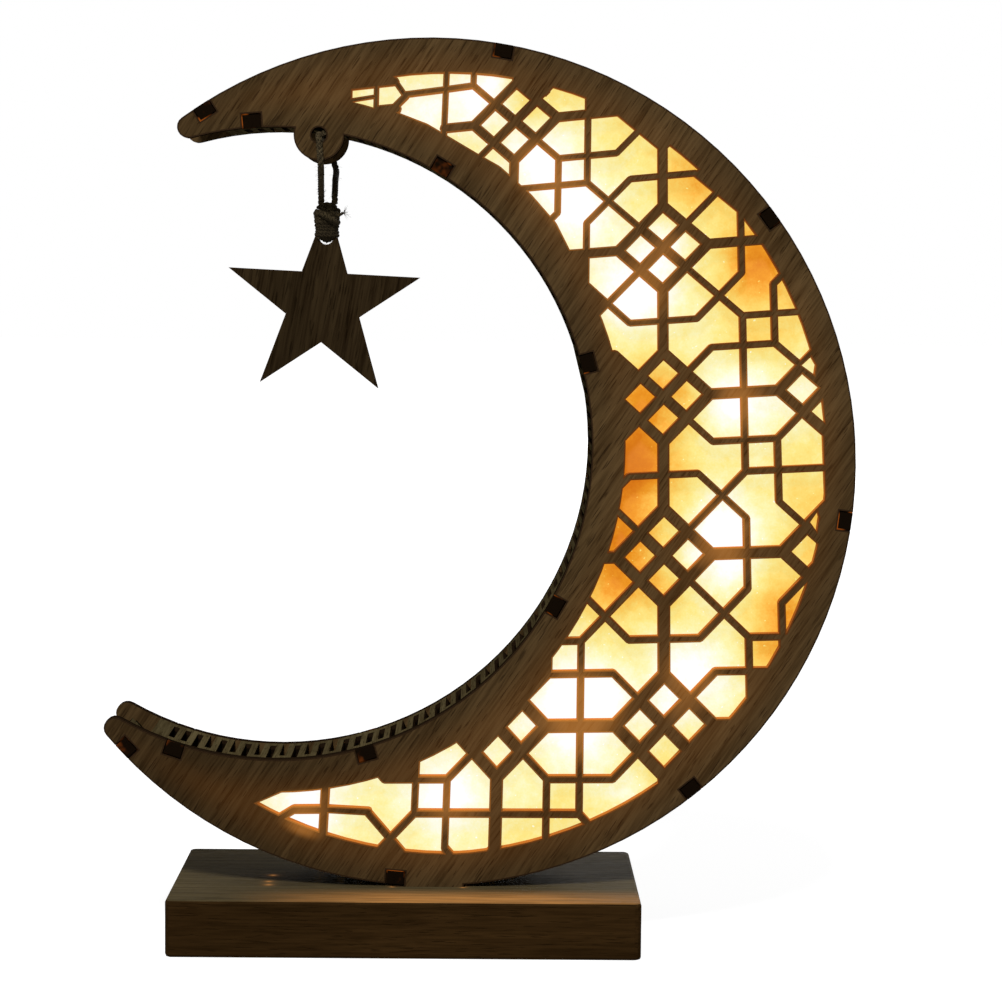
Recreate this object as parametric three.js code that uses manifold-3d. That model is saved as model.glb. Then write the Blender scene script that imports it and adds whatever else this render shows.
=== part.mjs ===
// Wooden crescent night light: a kerf-bent crescent box with a lattice front and a glowing diffuser,
// a wooden star hanging from twine in its mouth, a battery box behind it and a block to stand on.
// Millimetres. +X is to the right, +Y away from the viewer and +Z up.
// The origin is the centre of the base's underside.

import * as THREE from 'three';
import { mergeVertices } from 'three/addons/utils/BufferGeometryUtils.js';
import Module from 'manifold-3d';

// Clearances
const gap = 0.3; // between a tab and its notch, a tenon and its mortise, and pieces that lie on each other
const seatGap = 0.2; // between the crescent's lowest point and the base

// Crescent
const outerRadius = 100;
const innerRadius = 74.5; // of the mouth
const mouthOffset = 37; // from the outer circle's centre to the mouth's centre
const crescentLean = -7; // degrees, the crescent's axis of symmetry against the horizontal
const crescentX = 5.5; // the outer circle's centre, from the middle of the base
const tipRadius = 2.6;
const sheet = 3; // plywood
const cavity = 20; // between the two panels
const arcStep = 3; // degrees of a large arc's facet

// Ears that carry the twine, which runs just inside the mouth's edge
const earAngle = 89.2; // from the crescent's axis, seen from the mouth's centre
const earRadius = 5.9;
const earHoleRadius = 1.8;

// Kerf-bent bands and the tabs that lock them into the panels
const tabWidth = 4;
const outerTabShares = [0, 0.3323, 0.6646, 0.985]; // of half the band's length, each way from the middle
const innerTabShares = [0.2107, 0.6247, 0.953];
const outerBandStop = 2.9; // the outer band stops this far from the mouth's edge
const innerBandStop = 2.2; // and the inner band this far from the outer one
const kerfWidth = 1.5;
const kerfBridge = 3; // wood left between a cut's end and the edge
const outerKerfPitch = 8;
const innerKerfPitch = 6;
const kerfMargin = 1.2; // wood left beside a tab

// Window and lattice
const outerRim = 6.5; // solid border of the front panel along its outer edge, at least
const innerRim = 7.9; // and along the mouth
const windowTip = 3; // radius of the window's ends
// The window also stays inside these discs: the radius, and the centre's place along the crescent's axis and
// across it.
const windowDiscs = [[92, 4, 0.3], [93, 0, 0.6]];
// A bar widens the mouth's border: angles round the mouth's centre, and distances from the mouth's edge.
const wideRim = [[40, 6.9], [46, 8.2], [52, 8.2], [58.5, 8.1], [62, 7.4], [72, 7.4], [79, 7.2]];
const wideRimBar = 3; // its width
const frameBar = 2.05; // width of the bars of the diamond clusters, in the grid's first row
const linkBar = 1.5; // width of the bars between them
const frameBarGrowth = 0.1; // of that width, with each row down
const linkBarGrowth = 0.035;
const clusterHalf = 0.29; // half diagonal of a cluster, in cells
const linkBend = 0.213; // where the bars round a cluster turn, in cells
const squareFar = 0.696; // the far side of the small squares, in cells
const smallestOpening = 2.5; // square millimetres: a smaller gap at the rim is left solid
const smallestByMouth = 13; // and a smaller one beside the mouth's border, under the window's upper end
const besideMouth = 6; // how far from the border that reaches
const underUpperEnd = 80; // and up to which height over the outer circle's centre
// The grid of clusters fans out downwards and to the right: its step grows with each column and row.
const gridOrigin = [19.6, 110.9]; // from the outer circle's centre
const columnStep = [32.1, 1.84];
const rowStep = [-1.18, -32.6];
const columnGrowth = 0.0207;
const rowGrowth = 0.0314;
// The window's ends and its outer border have bars of their own: from and to in columns and rows, and width.
const upperEnd = { column: -0.49, row: 1.01 };
const upperEndBars = [
  [[-1.243, 0.56], [-1.233, 0.82], 3.6],
  [[-1.25, 0.6], [-0.87, 0.6], 2],
  [[-1.008, 0.56], [-0.998, 0.88], 1.25],
  [[-1.2, 0.712], [-1.003, 0.7], 0.9],
  [[-0.99, 0.812], [-0.85, 0.812], 2.4],
  [[-0.9, 0.833], [-0.785, 0.72], 1.7],
  [[-0.88, 0.585], [-0.79, 0.722], 1.4],
  [[-0.79, 0.71], [-0.5, 0.703], 1.5],
  [[-0.5, 0.703], [-0.304, 0.696], 1.5],
  [[-0.5, 0.5], [-0.5, 1.05], 1.5],
  [[-0.5, 1], [-0.29, 1], 2.2],
];
const outerRimBars = [
  [[0.03, 0.69], [0.19, 0.78], 3.5],
  [[0.52, 0.935], [0.62, 0.95], 2.6],
  [[1.235, 1.492], [1.31, 1.56], 1.2],
  [[1.53, 4.72], [1.53, 4.78], 3.4],
];
const outerRimOpenings = [ // corners, in columns and rows
  [[1.853, 2.849], [1.911, 2.798], [1.938, 2.854], [1.927, 2.913]],
  [[1.874, 3.827], [1.918, 3.766], [1.926, 3.801], [1.911, 3.885]],
];
const lowerEnd = { column: -0.8, row: 5.2 };
const lowerEndBars = [
  [[-1.56, 5.42], [-1.3, 5.316], 3],
  [[-1.36, 5.535], [-1.265, 5.48], 1.9],
  [[-1.265, 5.48], [-1.07, 5.478], 1.9],
  [[-1.07, 5.32], [-1.069, 5.65], 2.2],
  [[-1.07, 5.476], [-0.787, 5.49], 1.7],
];

// Diffuser behind the lattice
const diffuserThickness = 0.8;
const diffuserTip = 1.2;

// Base
const baseWidth = 111;
const baseDepth = 60;
const baseHeight = 13.5;
const baseBevel = 0.7;
const baseCorner = 1.2;
const tenonWidth = 16.8;
const tenonDepth = 7.5; // into the base

// Lights: angle from the crescent's axis in degrees, and distance outwards from the middle of its arm
const lights = [
  [95, -2], [77, -4], [63, -7], [45, -9], [22, 3], [-6, 3], [-30, 6], [-56, -5], [-76, 0], [-96, 0],
];
const lightRadius = 1.9;
const lightHeight = 4;
const lightCollar = 0.5; // how far the foot stands out round the dome
const lightFoot = 0.8; // height of the foot
const stringRadius = 0.55;
const stringTail = 4; // wire beyond the last light at each end
const feedAfter = 5; // the supply wire joins the string after this many lights

// Twine loop through both ears
const twineRadius = 0.75;
const strandLean = [0.5, 2.7]; // sideways from the hole: the front and the rear strand, under the ear
const strandFoot = [-0.1, 3.1]; // and at their lower ends
const strandEnd = 15; // from the hole's centre down to the strands' ends

// Knot: a turn of twine across the loop's foot, and a lump under it
const knotX = 1.3; // sideways from the ear's hole
const turnRadius = 0.8;
const turnLength = 6;
const knotWidth = 6.4;
const knotDepth = 5.4;
const knotHeight = 3.4;
const knotTail = 2.4; // the loose end's length beyond the lump
const tieRadius = 0.65;
const tieSpread = [1.5, 0.75]; // half the space between the tie's two strands: at the knot and in the hole

// Star
const starRadius = 24;
const starWaist = 0.382; // the inner corners' radius over the tips', as in a pentagram
const starTurn = 2.6; // degrees, clockwise
const starThickness = 3;
const starCut = 5.5; // the top tip is cut off this far down, under the knot
const starHoleRadius = 1.75;
const starHoleDrop = 8.2; // from where the top tip would be down to the hole

// Battery box on the back panel
const boxAngle = -10; // degrees from the crescent's axis, in the middle of its arm
const cellRadius = 5.25;
const cellLength = 44.5;
const nubRadius = 1.9;
const nubHeight = 0.9;
const cellSpacing = 0.6; // between the cells and beside them
const boxWall = 1.8;
const boxFloor = 1.5;
const boxEnd = 1.5;
const boxCorner = 2;
const contactThickness = 0.5;
const contactWidth = 7;
const springHeight = 4.2;
const springFoot = 3.1; // radius of the widest turn
const springHead = 2.1; // and of the turn at the cell
const springWire = 0.35;
const springTurns = 2.5;
const coverThickness = 1.4;
const coverGroove = 0.9; // how far the cover's edges go into the side walls
const coverLip = 0.9; // wall in front of the cover's edges
const gripWidth = 12;
const gripHeight = 0.6;
const gripThickness = 0.8;
const gripCount = 4;
const gripPitch = 2;
const screwHeadRadius = 2;
const screwHeadHeight = 1.2;
const screwRadius = 1;
const screwLength = 4.2;
const screwSpacing = 28;

// Switch in its own bay above the cells
const switchBay = 8.4;
const switchSize = [9, 5, 5];
const knobWidth = 3;
const knobHeight = 2;
const knobReach = 1.4; // beyond the box's face
const knobTravel = 2;
const feedX = 3; // the supply wire's hole, from the middle of the box
const feedHoleRadius = 1.3;

// Finishes
const panelWood = { color: 0x6e5a3c, roughness: 0.75 };
const bandWood = { color: 0x75623f, roughness: 0.8 };
const baseWood = { color: 0x5a4830, roughness: 0.6 };
const starWood = { color: 0x4e3b26, roughness: 0.75 };
const diffuserFilm = { color: 0xfff0c8, roughness: 0.5, emissive: 0xffc860, emissiveIntensity: 0.8 };
const lightResin = { color: 0xfff6dc, roughness: 0.25, emissive: 0xffe6b0, emissiveIntensity: 1 };
const enamelWire = { color: 0xb06a3a, roughness: 0.35, metalness: 0.8 };
const juteTwine = { color: 0x8a7350, roughness: 0.95 };
const blackPlastic = { color: 0x1d1d1f, roughness: 0.5 };
const greyPlastic = { color: 0x8c8c8c, roughness: 0.5 };
const plateMetal = { color: 0xc8c8c4, roughness: 0.3, metalness: 1 };
const cellSleeve = { color: 0x30343a, roughness: 0.35, metalness: 0.4 };

const wasm = await Module();
wasm.setup();

const radians = THREE.MathUtils.degToRad;
const panelY = cavity / 2 + sheet; // the outer face of each panel, from the middle plane
const crescentZ = baseHeight + seatGap + outerRadius; // the outer circle's centre

// A geometry's surface with its shared corners merged and no empty triangles.
function closed(geometry) {
  const bare = geometry.clone();
  for (const name of Object.keys(bare.attributes)) if (name !== 'position') bare.deleteAttribute(name);
  const merged = mergeVertices(bare, 1e-4);
  const index = merged.index.array;
  const kept = [];
  for (let i = 0; i < index.length; i += 3) {
    const [a, b, c] = [index[i], index[i + 1], index[i + 2]];
    if (a !== b && b !== c && c !== a) kept.push(a, b, c);
  }
  merged.setIndex(kept);
  return merged;
}

function toSolid(geometry) {
  const shell = closed(geometry);
  return new wasm.Manifold(new wasm.Mesh({
    numProp: 3,
    vertProperties: Float32Array.from(shell.attributes.position.array),
    triVerts: Uint32Array.from(shell.index.array),
  }));
}

function toGeometry(solid) {
  const mesh = solid.getMesh();
  const geometry = new THREE.BufferGeometry();
  geometry.setAttribute('position', new THREE.Float32BufferAttribute(mesh.vertProperties, 3));
  geometry.setIndex(Array.from(mesh.triVerts));
  return geometry;
}

// The union of many solids, joined two by two.
function join(solids) {
  let left = solids;
  while (left.length > 1) {
    const next = [];
    for (let i = 0; i < left.length; i += 2) {
      next.push(i + 1 < left.length ? left[i].add(left[i + 1]) : left[i]);
    }
    left = next;
  }
  return left[0];
}

function cut(body, cutters) {
  return toGeometry(toSolid(body).subtract(join(cutters.map(toSolid))));
}

// The separate bodies of a solid that pass a test of their volume and their middle, as one geometry.
function bodiesThat(solid, passes) {
  const geometry = toGeometry(solid);
  const position = geometry.attributes.position;
  const index = geometry.index.array;
  const parent = Array.from({ length: position.count }, (_, i) => i);
  const root = (i) => {
    let at = i;
    while (parent[at] !== at) at = parent[at] = parent[parent[at]];
    return at;
  };
  for (let i = 0; i < index.length; i += 3) {
    parent[root(index[i + 1])] = root(index[i]);
    parent[root(index[i + 2])] = root(index[i]);
  }
  const bodies = new Map();
  for (let i = 0; i < index.length; i += 3) {
    const [a, b, c] = [0, 1, 2].map((k) => new THREE.Vector3().fromBufferAttribute(position, index[i + k]));
    const body = bodies.get(root(index[i])) ?? { volume: 0, moment: new THREE.Vector3() };
    const wedge = a.dot(b.clone().cross(c)) / 6; // between the triangle and the origin
    body.volume += wedge;
    body.moment.addScaledVector(a.add(b).add(c), wedge / 4);
    bodies.set(root(index[i]), body);
  }
  const kept = [];
  for (let i = 0; i < index.length; i += 3) {
    const { volume, moment } = bodies.get(root(index[i]));
    if (passes(volume, moment.clone().divideScalar(volume))) kept.push(index[i], index[i + 1], index[i + 2]);
  }
  geometry.setIndex(kept);
  return geometry;
}

// Outlines are drawn in the X-Z plane, as seen from the front.
function arc(centre, radius, from, to, step = arcStep) {
  const count = Math.max(1, Math.round(Math.abs(to - from) / step));
  return Array.from({ length: count }, (_, i) => {
    const angle = radians(from + ((to - from) * i) / count);
    return new THREE.Vector2(centre.x + radius * Math.cos(angle), centre.y + radius * Math.sin(angle));
  });
}

function roundedRectangle(halfWidth, halfHeight, radius) {
  const corner = (x, y, from) => arc(
    new THREE.Vector2(x * (halfWidth - radius), y * (halfHeight - radius)),
    radius,
    from,
    from + 90,
    30,
  );
  return [...corner(1, -1, -90), ...corner(1, 1, 0), ...corner(-1, 1, 90), ...corner(-1, -1, 180)];
}

function circle(centre, radius, sides) {
  return arc(centre, radius, 0, 360, 360 / sides);
}

// A flat piece with the outline given, from y = 0 to y = thickness.
function plate(outline, thickness, holes = []) {
  const shape = new THREE.Shape(outline);
  shape.holes = holes.map((points) => new THREE.Path(points));
  const geometry = new THREE.ExtrudeGeometry(shape, { depth: thickness, bevelEnabled: false });
  return geometry.rotateX(Math.PI / 2).translate(0, thickness, 0);
}

function box(size, centre) {
  return new THREE.BoxGeometry(...size).translate(...centre);
}

function tube(curve, radius, sides, steps) {
  const section = new THREE.Shape(circle(new THREE.Vector2(), radius, sides));
  return new THREE.ExtrudeGeometry(section, { steps, extrudePath: curve, bevelEnabled: false });
}

function revolve(profile, sides) {
  return new THREE.LatheGeometry(profile.map(([r, h]) => new THREE.Vector2(r, h)), sides);
}

function piece(name, geometry, finish, position = [0, 0, 0]) {
  const mesh = new THREE.Mesh(geometry, new THREE.MeshStandardMaterial(finish));
  mesh.name = name;
  mesh.position.set(...position);
  return mesh;
}

// Points of the crescent, by their angle from its axis of symmetry
const origin = new THREE.Vector2();
const mouthCentre = new THREE.Vector2(-mouthOffset, 0).rotateAround(origin, radians(crescentLean));

function onCrescent(radius, degrees, centre = origin) {
  return new THREE.Vector2(radius, 0).rotateAround(origin, radians(degrees + crescentLean)).add(centre);
}

// Where a ray from the outer centre meets the mouth's edge, or a circle that runs along it.
function mouthDistance(degrees, radius = innerRadius) {
  const along = mouthOffset * Math.cos(radians(degrees));
  const across = mouthOffset * Math.sin(radians(degrees));
  return Math.sqrt(radius * radius - across * across) - along;
}

// The place where a circle round the outer centre meets one round the mouth's centre: its angles from the
// axis, seen from each centre.
function meeting(outer, inner) {
  const x = -(outer * outer - inner * inner + mouthOffset * mouthOffset) / (2 * mouthOffset);
  const y = Math.sqrt(outer * outer - x * x);
  return [x, x + mouthOffset].map((along) => THREE.MathUtils.radToDeg(Math.atan2(y, along)));
}

// A crescent between two circles, with round tips.
function crescentOutline(outer, inner, tip, step = arcStep) {
  const far = outer - tip;
  const [tipAngle, mouthAngle] = meeting(far, inner + tip);
  const lean = crescentLean;
  return [
    ...arc(origin, outer, lean - tipAngle, lean + tipAngle, step),
    ...arc(onCrescent(far, tipAngle), tip, lean + tipAngle, lean + mouthAngle + 180, 20),
    ...arc(mouthCentre, inner, lean + mouthAngle, lean - mouthAngle, step),
    ...arc(onCrescent(far, -tipAngle), tip, lean + 180 - mouthAngle, lean + 360 - tipAngle, 20),
  ];
}

const earCentre = onCrescent(innerRadius - gap - twineRadius, earAngle, mouthCentre);
const [outerBandEnd] = meeting(outerRadius - sheet, innerRadius + outerBandStop);
const [, innerBandEnd] = meeting(outerRadius - sheet - innerBandStop, innerRadius + sheet);

// The tabs' angles from the axis, on both sides of it
function tabAngles(shares, end) {
  const oneSide = shares.map((share) => share * end);
  return [...oneSide, ...oneSide.filter((degrees) => degrees > 0).map((degrees) => -degrees)];
}

const outerTabAngles = tabAngles(outerTabShares, outerBandEnd);
const innerTabAngles = tabAngles(innerTabShares, innerBandEnd);

// Cutters for the notches that the bands' tabs lock into, open at the panel's edge.
function notches() {
  const depth = sheet + 2 * gap;
  const notch = (radius, degrees, centre) => {
    const at = onCrescent(radius, degrees, centre);
    return box([depth, sheet * 3, tabWidth + 2 * gap], [0, 0, 0])
      .rotateY(-radians(degrees + crescentLean))
      .translate(at.x, sheet / 2, at.y);
  };
  return [
    ...outerTabAngles.map((degrees) => notch(outerRadius - sheet / 2, degrees, origin)),
    ...innerTabAngles.map((degrees) => notch(innerRadius + sheet / 2, degrees, mouthCentre)),
  ];
}

// The outline that both panels share, with the ear and the tenon, and the notches cut out.
function panelBlank() {
  const tenonTop = outerRadius - outerRim;
  const tenonFoot = outerRadius + seatGap + tenonDepth;
  const blank = join([
    toSolid(plate(crescentOutline(outerRadius, innerRadius, tipRadius), sheet)),
    toSolid(plate(circle(earCentre, earRadius, 40), sheet)),
    toSolid(box([tenonWidth, sheet, tenonFoot - tenonTop], [0, sheet / 2, -(tenonFoot + tenonTop) / 2])),
  ]);
  return cut(toGeometry(blank), [...notches(), drill(earCentre, earHoleRadius, 20)]);
}

function drill(centre, radius, sides) {
  return plate(circle(centre, radius, sides), sheet * 3).translate(0, -sheet, 0);
}

// A point of the lattice's grid, on the panel.
function gridPoint(column, row) {
  const shrink = 1 - columnGrowth * column - rowGrowth * row;
  return new THREE.Vector2(
    (gridOrigin[0] + columnStep[0] * column + rowStep[0] * row) / shrink,
    (gridOrigin[1] + columnStep[1] * column + rowStep[1] * row) / shrink,
  );
}

// The bars of a 2 by 2 cluster of diamonds, in cells from its middle.
function clusterBars() {
  const half = clusterHalf;
  const bars = [];
  for (const side of [-1, 1]) {
    bars.push([[side * half, 0], [0, half]], [[side * half, 0], [0, -half]]);
    bars.push([[-half / 2, (-side * half) / 2], [half / 2, (side * half) / 2]]);
  }
  return bars;
}

// The bars inside one cell, counted from the cluster at its first corner.
function cellBars() {
  const near = clusterHalf / 2;
  const far = 1 - near;
  const turn = 1 - squareFar;
  return [
    [[near, near], [0.5, 0.5]],
    [[0, 0.5], [linkBend, 0.5]],
    [[linkBend, 0.5], [0.5, linkBend]],
    [[0.5, linkBend], [0.5, 0]],
    [[near, far], [turn, squareFar]],
    [[turn, squareFar], [squareFar, squareFar]],
    [[far, near], [squareFar, turn]],
    [[squareFar, turn], [squareFar, squareFar]],
    [[far, far], [squareFar, squareFar]],
    [[0.5, 1], [0.5, 0.5]],
    [[1, 0.5], [0.5, 0.5]],
  ];
}

// One bar with half-round ends.
function bar(from, to, width) {
  const heading = THREE.MathUtils.radToDeg(Math.atan2(to.y - from.y, to.x - from.x));
  const outline = [
    ...arc(to, width / 2, heading - 90, heading + 90, 45),
    to.clone().add(new THREE.Vector2(0, width / 2).rotateAround(origin, radians(heading))),
    ...arc(from, width / 2, heading + 90, heading + 270, 45),
    from.clone().add(new THREE.Vector2(0, -width / 2).rotateAround(origin, radians(heading))),
  ];
  return plate(outline, sheet * 3).translate(0, -sheet, 0);
}

function latticeBars() {
  const single = [...upperEndBars, ...lowerEndBars, ...outerRimBars];
  const bars = single.map(([a, b, width]) => toSolid(bar(gridPoint(...a), gridPoint(...b), width)));
  const rim = wideRim.map(([degrees, middle]) => onCrescent(innerRadius + middle, degrees, mouthCentre));
  for (let i = 1; i < rim.length; i += 1) bars.push(toSolid(bar(rim[i - 1], rim[i], wideRimBar)));
  const add = (line, place, width, growth) => {
    const [a, b] = line.map(place);
    const [column, row] = [(a[0] + b[0]) / 2, (a[1] + b[1]) / 2];
    const [from, to] = [gridPoint(...a), gridPoint(...b)];
    const middle = from.clone().add(to).divideScalar(2);
    const reach = from.distanceTo(to) / 2;
    const inside = middle.length() - reach < outerRadius - outerRim
      && middle.distanceTo(mouthCentre) + reach > innerRadius + innerRim;
    const atUpperEnd = column < upperEnd.column && row < upperEnd.row;
    const atLowerEnd = column < lowerEnd.column && row > lowerEnd.row;
    if (inside && !atUpperEnd && !atLowerEnd) bars.push(toSolid(bar(from, to, width * (1 + growth * row))));
  };
  for (let column = -2; column <= 3; column += 1) {
    for (let row = 0; row <= 6; row += 1) {
      const here = ([u, v]) => [column + u, row + v];
      const between = [[[clusterHalf, 0], [1 - clusterHalf, 0]], [[0, clusterHalf], [0, 1 - clusterHalf]]];
      for (const line of [...clusterBars(), ...between]) add(line, here, frameBar, frameBarGrowth);
      // The pattern is mirrored from cell to cell, about the clusters with an odd column and an even row.
      const [oddColumn, evenRow] = [Math.abs(column % 2) === 1, row % 2 === 0];
      const mirrored = ([u, v]) => [column + (oddColumn ? u : 1 - u), row + (evenRow ? v : 1 - v)];
      for (const line of cellBars()) add(line, mirrored, linkBar, linkBarGrowth);
    }
  }
  return join(bars);
}

function frontPanel() {
  const outline = crescentOutline(outerRadius - outerRim, innerRadius + innerRim, windowTip);
  const discs = windowDiscs.map(([radius, along, across]) => arc(
    new THREE.Vector2(along, across).rotateAround(origin, radians(crescentLean)),
    radius,
    0,
    360,
  ));
  const through = (points) => plate(points, sheet * 2).translate(0, -sheet / 2, 0);
  const [whole, ...limits] = [outline, ...discs].map((points) => toSolid(through(points)));
  const small = outerRimOpenings.map((corners) => through(corners.map((at) => gridPoint(...at))));
  const window = limits.reduce((left, disc) => left.intersect(disc), whole);
  const largeEnough = (volume, middle) => {
    const fromMouth = new THREE.Vector2(middle.x, middle.z).distanceTo(mouthCentre);
    const byMouth = fromMouth < innerRadius + innerRim + besideMouth && middle.z < underUpperEnd;
    return volume >= (byMouth ? smallestByMouth : smallestOpening) * sheet * 2;
  };
  return cut(panelBlank(), [bodiesThat(window.subtract(latticeBars()), largeEnough), ...small]);
}

// A band is cut flat, as a strip with slits from both edges in turn, and then bent round its circle. A slit
// that a tab stands in the way of is closed at both ends.
// The strip lies along x, its width along y and its thickness along z, before it is bent.
function kerfStrip(radius, endAngle, angles, pitch, bendSide) {
  const half = radius * radians(endAngle);
  const tabs = angles.map((degrees) => -bendSide * radius * radians(degrees));
  const keepOut = tabWidth / 2 + kerfMargin + kerfWidth / 2;
  const count = Math.floor((2 * half) / pitch);
  const closedSlits = [];
  const edge = (side) => {
    const rim = (side * cavity) / 2;
    const marks = tabs.map((at) => ({ at, width: tabWidth, depth: rim + side * sheet }));
    for (let k = 0; k < count; k += 1) {
      const at = (k - (count - 1) / 2 + side / 4) * pitch;
      if (half - Math.abs(at) < kerfMargin + kerfWidth / 2) continue;
      const free = tabs.every((tab) => Math.abs(tab - at) > keepOut);
      if (free) marks.push({ at, width: kerfWidth, depth: -rim + side * kerfBridge });
      else closedSlits.push(at);
    }
    marks.sort((a, b) => a.at - b.at);
    const points = [new THREE.Vector2(-half, rim)];
    for (const { at, width, depth } of marks) {
      for (const [x, y] of [[-1, rim], [-1, depth], [1, depth], [1, rim]]) {
        points.push(new THREE.Vector2(at + (x * width) / 2, y));
      }
    }
    points.push(new THREE.Vector2(half, rim));
    return points;
  };
  const outline = new THREE.Shape([...edge(-1), ...edge(1).reverse()]);
  const strip = new THREE.ExtrudeGeometry(outline, { depth: sheet, bevelEnabled: false });
  const slit = [kerfWidth, cavity - 2 * kerfBridge, 3 * sheet];
  return cut(strip, closedSlits.map((at) => box(slit, [at, 0, sheet / 2])));
}

// The strip's face z = 0 goes on the circle, and its thickness inwards (side -1) or outwards (side 1).
function bend(strip, radius, centre, side) {
  const position = strip.attributes.position;
  for (let i = 0; i < position.count; i += 1) {
    const angle = (-side * position.getX(i)) / radius;
    const at = onCrescent(radius + side * position.getZ(i), THREE.MathUtils.radToDeg(angle), centre);
    position.setXYZ(i, at.x, position.getY(i), at.y);
  }
  return strip;
}

// Middle of the crescent's arm, moved outwards by the offset
function armMiddle(degrees, offset = 0) {
  return onCrescent((outerRadius + mouthDistance(degrees)) / 2 + offset, degrees);
}

const stringY = cavity / 2 - gap - stringRadius; // the string lies on the back panel

// Battery box: its own origin is the middle of its foot, on the back panel.
const boxCentre = armMiddle(boxAngle);
const cellY = boxFloor + gap + cellRadius;
const coverY = cellY + cellRadius + gap;
const boxDepth = coverY + coverThickness + gap + coverLip;
const cellX = cellRadius + cellSpacing / 2;
const bayHalf = cellX + cellRadius + cellSpacing; // half the width inside
const boxHalf = bayHalf + boxWall;
const cellBay = 2 * contactThickness + 3 * gap + springHeight + cellLength;
const boxHeight = boxEnd + cellBay + boxEnd + switchBay + boxEnd;
const cellFoot = boxEnd - boxHeight / 2; // the lower end of the cells' bay
const cellHead = cellFoot + cellBay;
const switchZ = cellHead + boxEnd + switchBay / 2;
const switchY = boxDepth - boxFloor - gap - switchSize[1]; // the back of the switch
const screwPlaces = [-1, 1].map((side) => (cellFoot + cellHead + side * screwSpacing) / 2);

function fromBox(x, z) {
  return new THREE.Vector2(boxCentre.x + x, boxCentre.y + z);
}

// The string runs over the supply wire's hole on its way from light to light.
function lightString() {
  const stops = lights.map(([degrees, offset]) => armMiddle(degrees, offset));
  const reach = (end, next) => end.clone().add(end.clone().sub(next).setLength(stringTail));
  const last = stops.length - 1;
  const route = [reach(stops[0], stops[1]), ...stops, reach(stops[last], stops[last - 1])];
  route.splice(feedAfter + 1, 0, fromBox(feedX, switchZ));
  const curve = new THREE.CatmullRomCurve3(route.map((at) => new THREE.Vector3(at.x, 0, at.y)));
  return { curve, stops };
}

function lightBulb() {
  const wide = lightRadius + lightCollar;
  const shoulder = lightHeight - lightRadius;
  const dome = [75, 50, 25].map((degrees) => [
    lightRadius * Math.sin(radians(degrees)),
    shoulder + lightRadius * Math.cos(radians(degrees)),
  ]);
  const foot = [[0, 0], [wide, 0], [wide, lightFoot], [lightRadius, lightFoot]];
  return revolve([...foot, ...dome, [0, lightHeight]], 8).rotateX(Math.PI);
}

function crescentPieces() {
  const outerStrip = kerfStrip(outerRadius, outerBandEnd, outerTabAngles, outerKerfPitch, -1);
  const innerStrip = kerfStrip(innerRadius, innerBandEnd, innerTabAngles, innerKerfPitch, 1);
  const [filmOuter, filmInner] = [outerRadius - sheet - gap, innerRadius + sheet + gap];
  const film = crescentOutline(filmOuter, filmInner, diffuserTip, 2 * arcStep);
  const holes = [
    ...screwPlaces.map((z) => drill(fromBox(0, z), screwRadius + gap, 12)),
    drill(fromBox(feedX, switchZ), feedHoleRadius, 16),
  ];
  const { curve, stops } = lightString();
  const bulbY = stringY - stringRadius - gap;
  return [
    piece('front_panel', frontPanel(), panelWood, [0, -panelY, 0]),
    piece('back_panel', cut(panelBlank(), holes), panelWood, [0, cavity / 2, 0]),
    piece('diffuser_sheet', plate(film, diffuserThickness), diffuserFilm, [0, -cavity / 2, 0]),
    piece('outer_band', bend(outerStrip, outerRadius, origin, -1), bandWood),
    piece('inner_band', bend(innerStrip, innerRadius, mouthCentre, 1), bandWood),
    piece('light_string', tube(curve, stringRadius, 6, 56), enamelWire, [0, stringY, 0]),
    ...stops.map((at, i) => piece(`light_${i + 1}`, lightBulb(), lightResin, [at.x, bulbY, at.y])),
  ];
}

function baseBlock() {
  const outline = roundedRectangle(baseWidth / 2 - baseBevel, baseDepth / 2 - baseBevel, baseCorner);
  const block = new THREE.ExtrudeGeometry(new THREE.Shape(outline), {
    depth: baseHeight - 2 * baseBevel,
    bevelSize: baseBevel,
    bevelThickness: baseBevel,
    bevelSegments: 2,
  }).translate(0, 0, baseBevel);
  const mortise = [tenonWidth + 2 * gap, sheet + 2 * gap, 2 * (tenonDepth + gap)];
  const middle = cavity / 2 + sheet / 2;
  const mortises = [-middle, middle].map((y) => box(mortise, [crescentX, y, baseHeight]));
  return piece('base_block', cut(block, mortises), baseWood);
}

// Pendant: its own origin is the middle of the ears' holes.
const turnZ = -strandEnd - gap - turnRadius; // the turn of twine across the strands' ends
const knotTop = turnZ - turnRadius - gap;
const knotFoot = knotTop - knotHeight;
const starTop = knotFoot - gap; // the top tip's cut end
const starZ = starTop - (starRadius - starCut); // the star's middle, before it is turned about its cut end
const holeZ = starZ + starRadius - starHoleDrop;
const tieZ = holeZ + Math.sqrt((starHoleRadius - gap - tieRadius) ** 2 - tieSpread[1] ** 2);

function throughPoints(points) {
  return new THREE.CatmullRomCurve3(points.map(([x, y, z]) => new THREE.Vector3(x, y, z)));
}

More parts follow.
